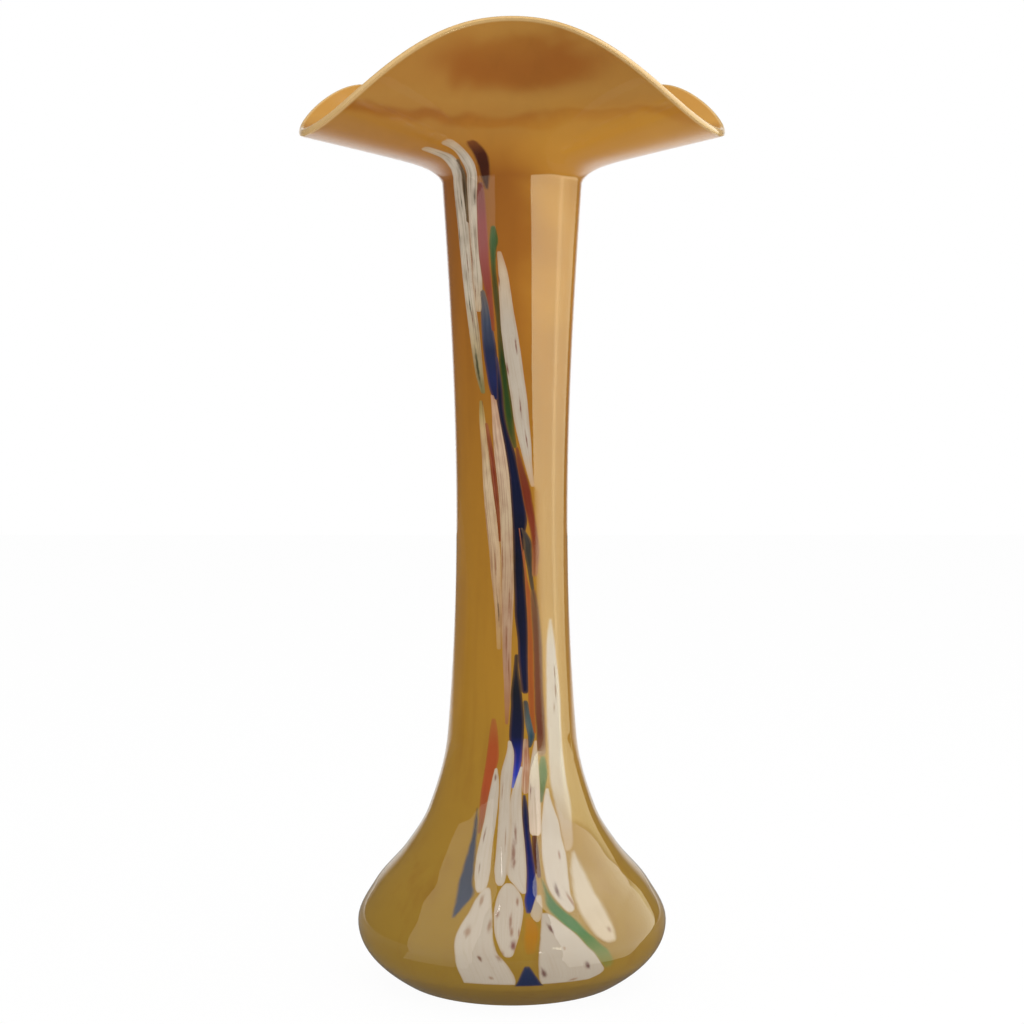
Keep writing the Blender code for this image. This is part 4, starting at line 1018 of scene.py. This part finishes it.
# A screen's rows are radius, height, first and last turn and level, and its shares grade the level across it
# It glows towards the height on the axis named by side and is clear from its other side
screenSteps = 53
paneColor = (1.0, 0.98, 0.67)
dayColor = (1.0, 0.98, 0.86)
leftColor = (1.0, 0.97, 0.82)
lampColor = (1.0, 0.98, 0.94)
paneShares = ((0.49, 0.78), (0.56, 1.1), (0.63, 0.72), (0.80, 0.45), (1, 0.32))
evenShares = ((0, 1.0), (1, 1.0))
screens = (
    dict(name="rightStrip", glow=5.3, color=paneColor, side=0.2,
         rows=((0.98, 0.14, 45, 133, 0.96), (0.98, 0.20, 38, 135, 0.97), (0.98, 0.33, 29, 136, 0.86),
               (0.98, 0.41, 29, 136, 0.44)),
         shares=((0, 1.0), (0.23, 0.9), *paneShares)),
    dict(name="rightFall", glow=5.3, color=paneColor, side=0.2,
         rows=((0.98, 0.0, 56, 127, 0.9), (0.98, 0.06, 54, 129, 0.9), (0.98, 0.10, 50, 131, 0.93),
               (0.98, 0.14, 43, 133, 0.96)),
         shares=((0, 0.0), (0.06, 0.45), (0.16, 0.9), (0.23, 0.95), *paneShares)),
    dict(name="rightWindow", glow=2.6, color=dayColor, side=0.05,
         rows=((1.0, 0.32, 36, 135, 1.0), (1.0, 0.75, 36, 135, 1.0), (1.0, 0.9, 36, 135, 1.2),
               (1.0, 2.2, 36, 135, 1.2), (0.5, 2.8, 36, 135, 1.2))),
    dict(name="rightLow", glow=2.3, color=dayColor, side=0.03,
         rows=((0.08, 0.001, 27, 64, 0.6), (0.12, 0.001, 27, 84, 1.0), (0.12, 0.012, 27, 91, 1.0),
               (0.12, 0.03, 27, 105, 1.0), (0.12, 0.075, 27, 110, 1.0))),
    dict(name="leftWindow", glow=1.2, color=leftColor, side=0.05,
         rows=((1.0, 0.48, -78, -28, 1.0), (1.0, 0.72, -88, -28, 1.0), (1.0, 0.85, -93, -28, 1.0),
               (1.0, 1.05, -99, -28, 1.0), (1.0, 2.3, -103, -28, 1.0), (0.5, 2.9, -103, -28, 1.0))),
    dict(name="leftLow", glow=1.2, color=leftColor, side=0.03,
         rows=((0.08, 0.001, -58, -21, 0.6), (0.12, 0.001, -61, -21, 1.0), (0.12, 0.035, -62, -21, 1.0),
               (0.12, 0.08, -66, -21, 1.0))),
    dict(name="leftPatch", glow=1.3, color=(1.0, 0.95, 0.80), side=0.28,
         rows=((1.0, 0.240, -77, -28, 0.0), (1.45, 0.272, -77, -28, 0.8), (2.4, 0.341, -71, -28, 1.0))),
    dict(name="tallLamp", glow=7.0, color=lampColor, side=0.05,
         rows=((1.0, 1.28, -17.6, -16.6, 0.5), (1.0, 1.6, -16.6, -15.2, 1.0), (1.0, 2.1, -18.2, -17.0, 0.5))),
    dict(name="lowLamp", glow=9.0, color=lampColor, side=0.03,
         rows=((0.12, 0.0335, 14.0, 17.0, 0.5), (0.12, 0.0365, 12.6, 15.4, 1.0),
               (0.12, 0.0385, 14.2, 16.6, 0.6)),
         shares=((0, 0.3), (0.5, 1.0), (1, 0.3))),
    # a dim sheet seen only in reflections, painted shade that hides the low screens from the flare
    dict(name="lowRoof", glow=0.17, color=(1.0, 1.0, 1.0), side=0.33,
         rows=((0.062, 0.085, -74, 116, 1.0), (0.14, 0.085, -74, 116, 1.0))),
)


def buildFloor():
    mesh = bpy.data.meshes.new("floor")
    mesh.from_pydata([(x, y, -table["drop"]) for x, y in table["corners"]], [], [(0, 1, 2, 3)])
    floor = addObject("floor", mesh)
    material, tree, shader = newMaterial("floorWhite")
    setInputs(shader, {"Base Color": table["color"], "Roughness": table["roughness"]})
    path = wires(newNode(tree, "ShaderNodeLightPath"))
    mirrored = path["Is Glossy Ray"].math("MAXIMUM", path["Is Transmission Ray"])
    where, split = coordinates(tree)
    apart = where.vectorMath("LENGTH", output="Value")
    # the table in reflections, dimmer to the front and sides, with a painted shadow near the foot
    level = split["Y"].fade(*table["depthRange"]) * apart.fade(*table["paintedShadowRange"])
    level = level * split["X"].math("ABSOLUTE").fade(*table["asideRange"])
    plain = path["Is Camera Ray"].math("MAXIMUM", path["Is Diffuse Ray"])
    glow = addNode(tree, "ShaderNodeEmission", {"Strength": level.math("MAXIMUM", plain)})
    seen = path["Is Camera Ray"].math("MAXIMUM", mirrored)
    # painted light: the table glows near the foot for diffuse rays
    under = path["Is Diffuse Ray"] * apart.fade(*table["underRange"])
    mixSurface(tree, seen * table["seen"] + under, wires(shader)["BSDF"], glow)
    mesh.materials.append(material)


def buildScreen(screen):
    steps = np.linspace(0, 1, screenSteps)
    shares = np.interp(steps, *zip(*screen.get("shares", evenShares)))
    points, glow = [], []
    for radius, height, first, last, level in screen["rows"]:
        turns = np.radians(first + (last - first) * steps)
        points += [(radius * math.sin(turn), -radius * math.cos(turn), height) for turn in turns]
        glow += list(shares * level * screen["glow"])
    mesh = bpy.data.meshes.new(screen["name"])
    mesh.from_pydata(points, [], sheetFaces(len(screen["rows"]), screenSteps).tolist())
    middle = mesh.polygons[screenSteps // 2]
    if middle.normal.dot(Vector((0.0, 0.0, screen["side"])) - middle.center) < 0:
        mesh.flip_normals()
    mesh.attributes.new("glow", "FLOAT", "POINT").data.foreach_set("value", np.array(glow, np.float32))
    piece = addObject(screen["name"], mesh)
    material, tree, shader = newMaterial(screen["name"])
    tree.nodes.remove(shader)
    inputs = {"Color": (*screen["color"], 1.0), "Strength": attribute(tree, "glow")}
    light = addNode(tree, "ShaderNodeEmission", inputs)
    behind = addNode(tree, "ShaderNodeNewGeometry", (), "Backfacing")
    mixSurface(tree, behind, light, addNode(tree, "ShaderNodeBsdfTransparent"))
    mesh.materials.append(material)
    piece.visible_camera = False
    piece.visible_diffuse = False
    piece.visible_transmission = False
    piece.visible_shadow = False


def buildPanel(panel):
    data = bpy.data.lights.new(panel["name"], "AREA")
    data.shape = "RECTANGLE"
    data.size = data.size_y = panel["size"]
    data.energy = panel["radiance"] * math.pi * panel["size"] ** 2
    data.color = panel["color"]
    lamp = addObject(panel["name"], data)
    lamp.location = panel["place"]
    lamp.rotation_euler = (Vector(panel["place"]) - Vector(panelAim)).to_track_quat("Z", "Y").to_euler()
    lamp.visible_camera = False
    lamp.visible_glossy = False


def buildWorld():
    world = bpy.data.worlds.new("room")
    bpy.context.scene.world = world
    world.use_nodes = True
    tree = world.node_tree
    back = next(node for node in tree.nodes if node.type == "BACKGROUND")
    path = wires(newNode(tree, "ShaderNodeLightPath"))
    look = path["Is Glossy Ray"].math("MAXIMUM", path["Is Transmission Ray"])
    where, split = coordinates(tree, "Generated")
    behind = split["Y"].fade(*room["wallRange"])
    around = (behind - room["light"]) * look + room["light"]
    strength = around.math("MAXIMUM", path["Is Camera Ray"])
    setInputs(back, {"Color": (1.0, 1.0, 1.0, 1.0), "Strength": strength})


def buildCamera():
    data = bpy.data.cameras.new("camera")
    data.sensor_width = camera["sensor"]
    data.lens = camera["lens"]
    data.shift_y = camera["shift"]
    viewer = addObject("camera", data)
    viewer.location = camera["place"]
    viewer.rotation_euler = (math.pi / 2, 0.0, 0.0)
    bpy.context.scene.camera = viewer


buildFloor()
for screen in screens:
    buildScreen(screen)
for panel in panels:
    buildPanel(panel)
buildWorld()
buildCamera()
bpy.context.scene.view_settings.view_transform = "Standard"
print("stage set")
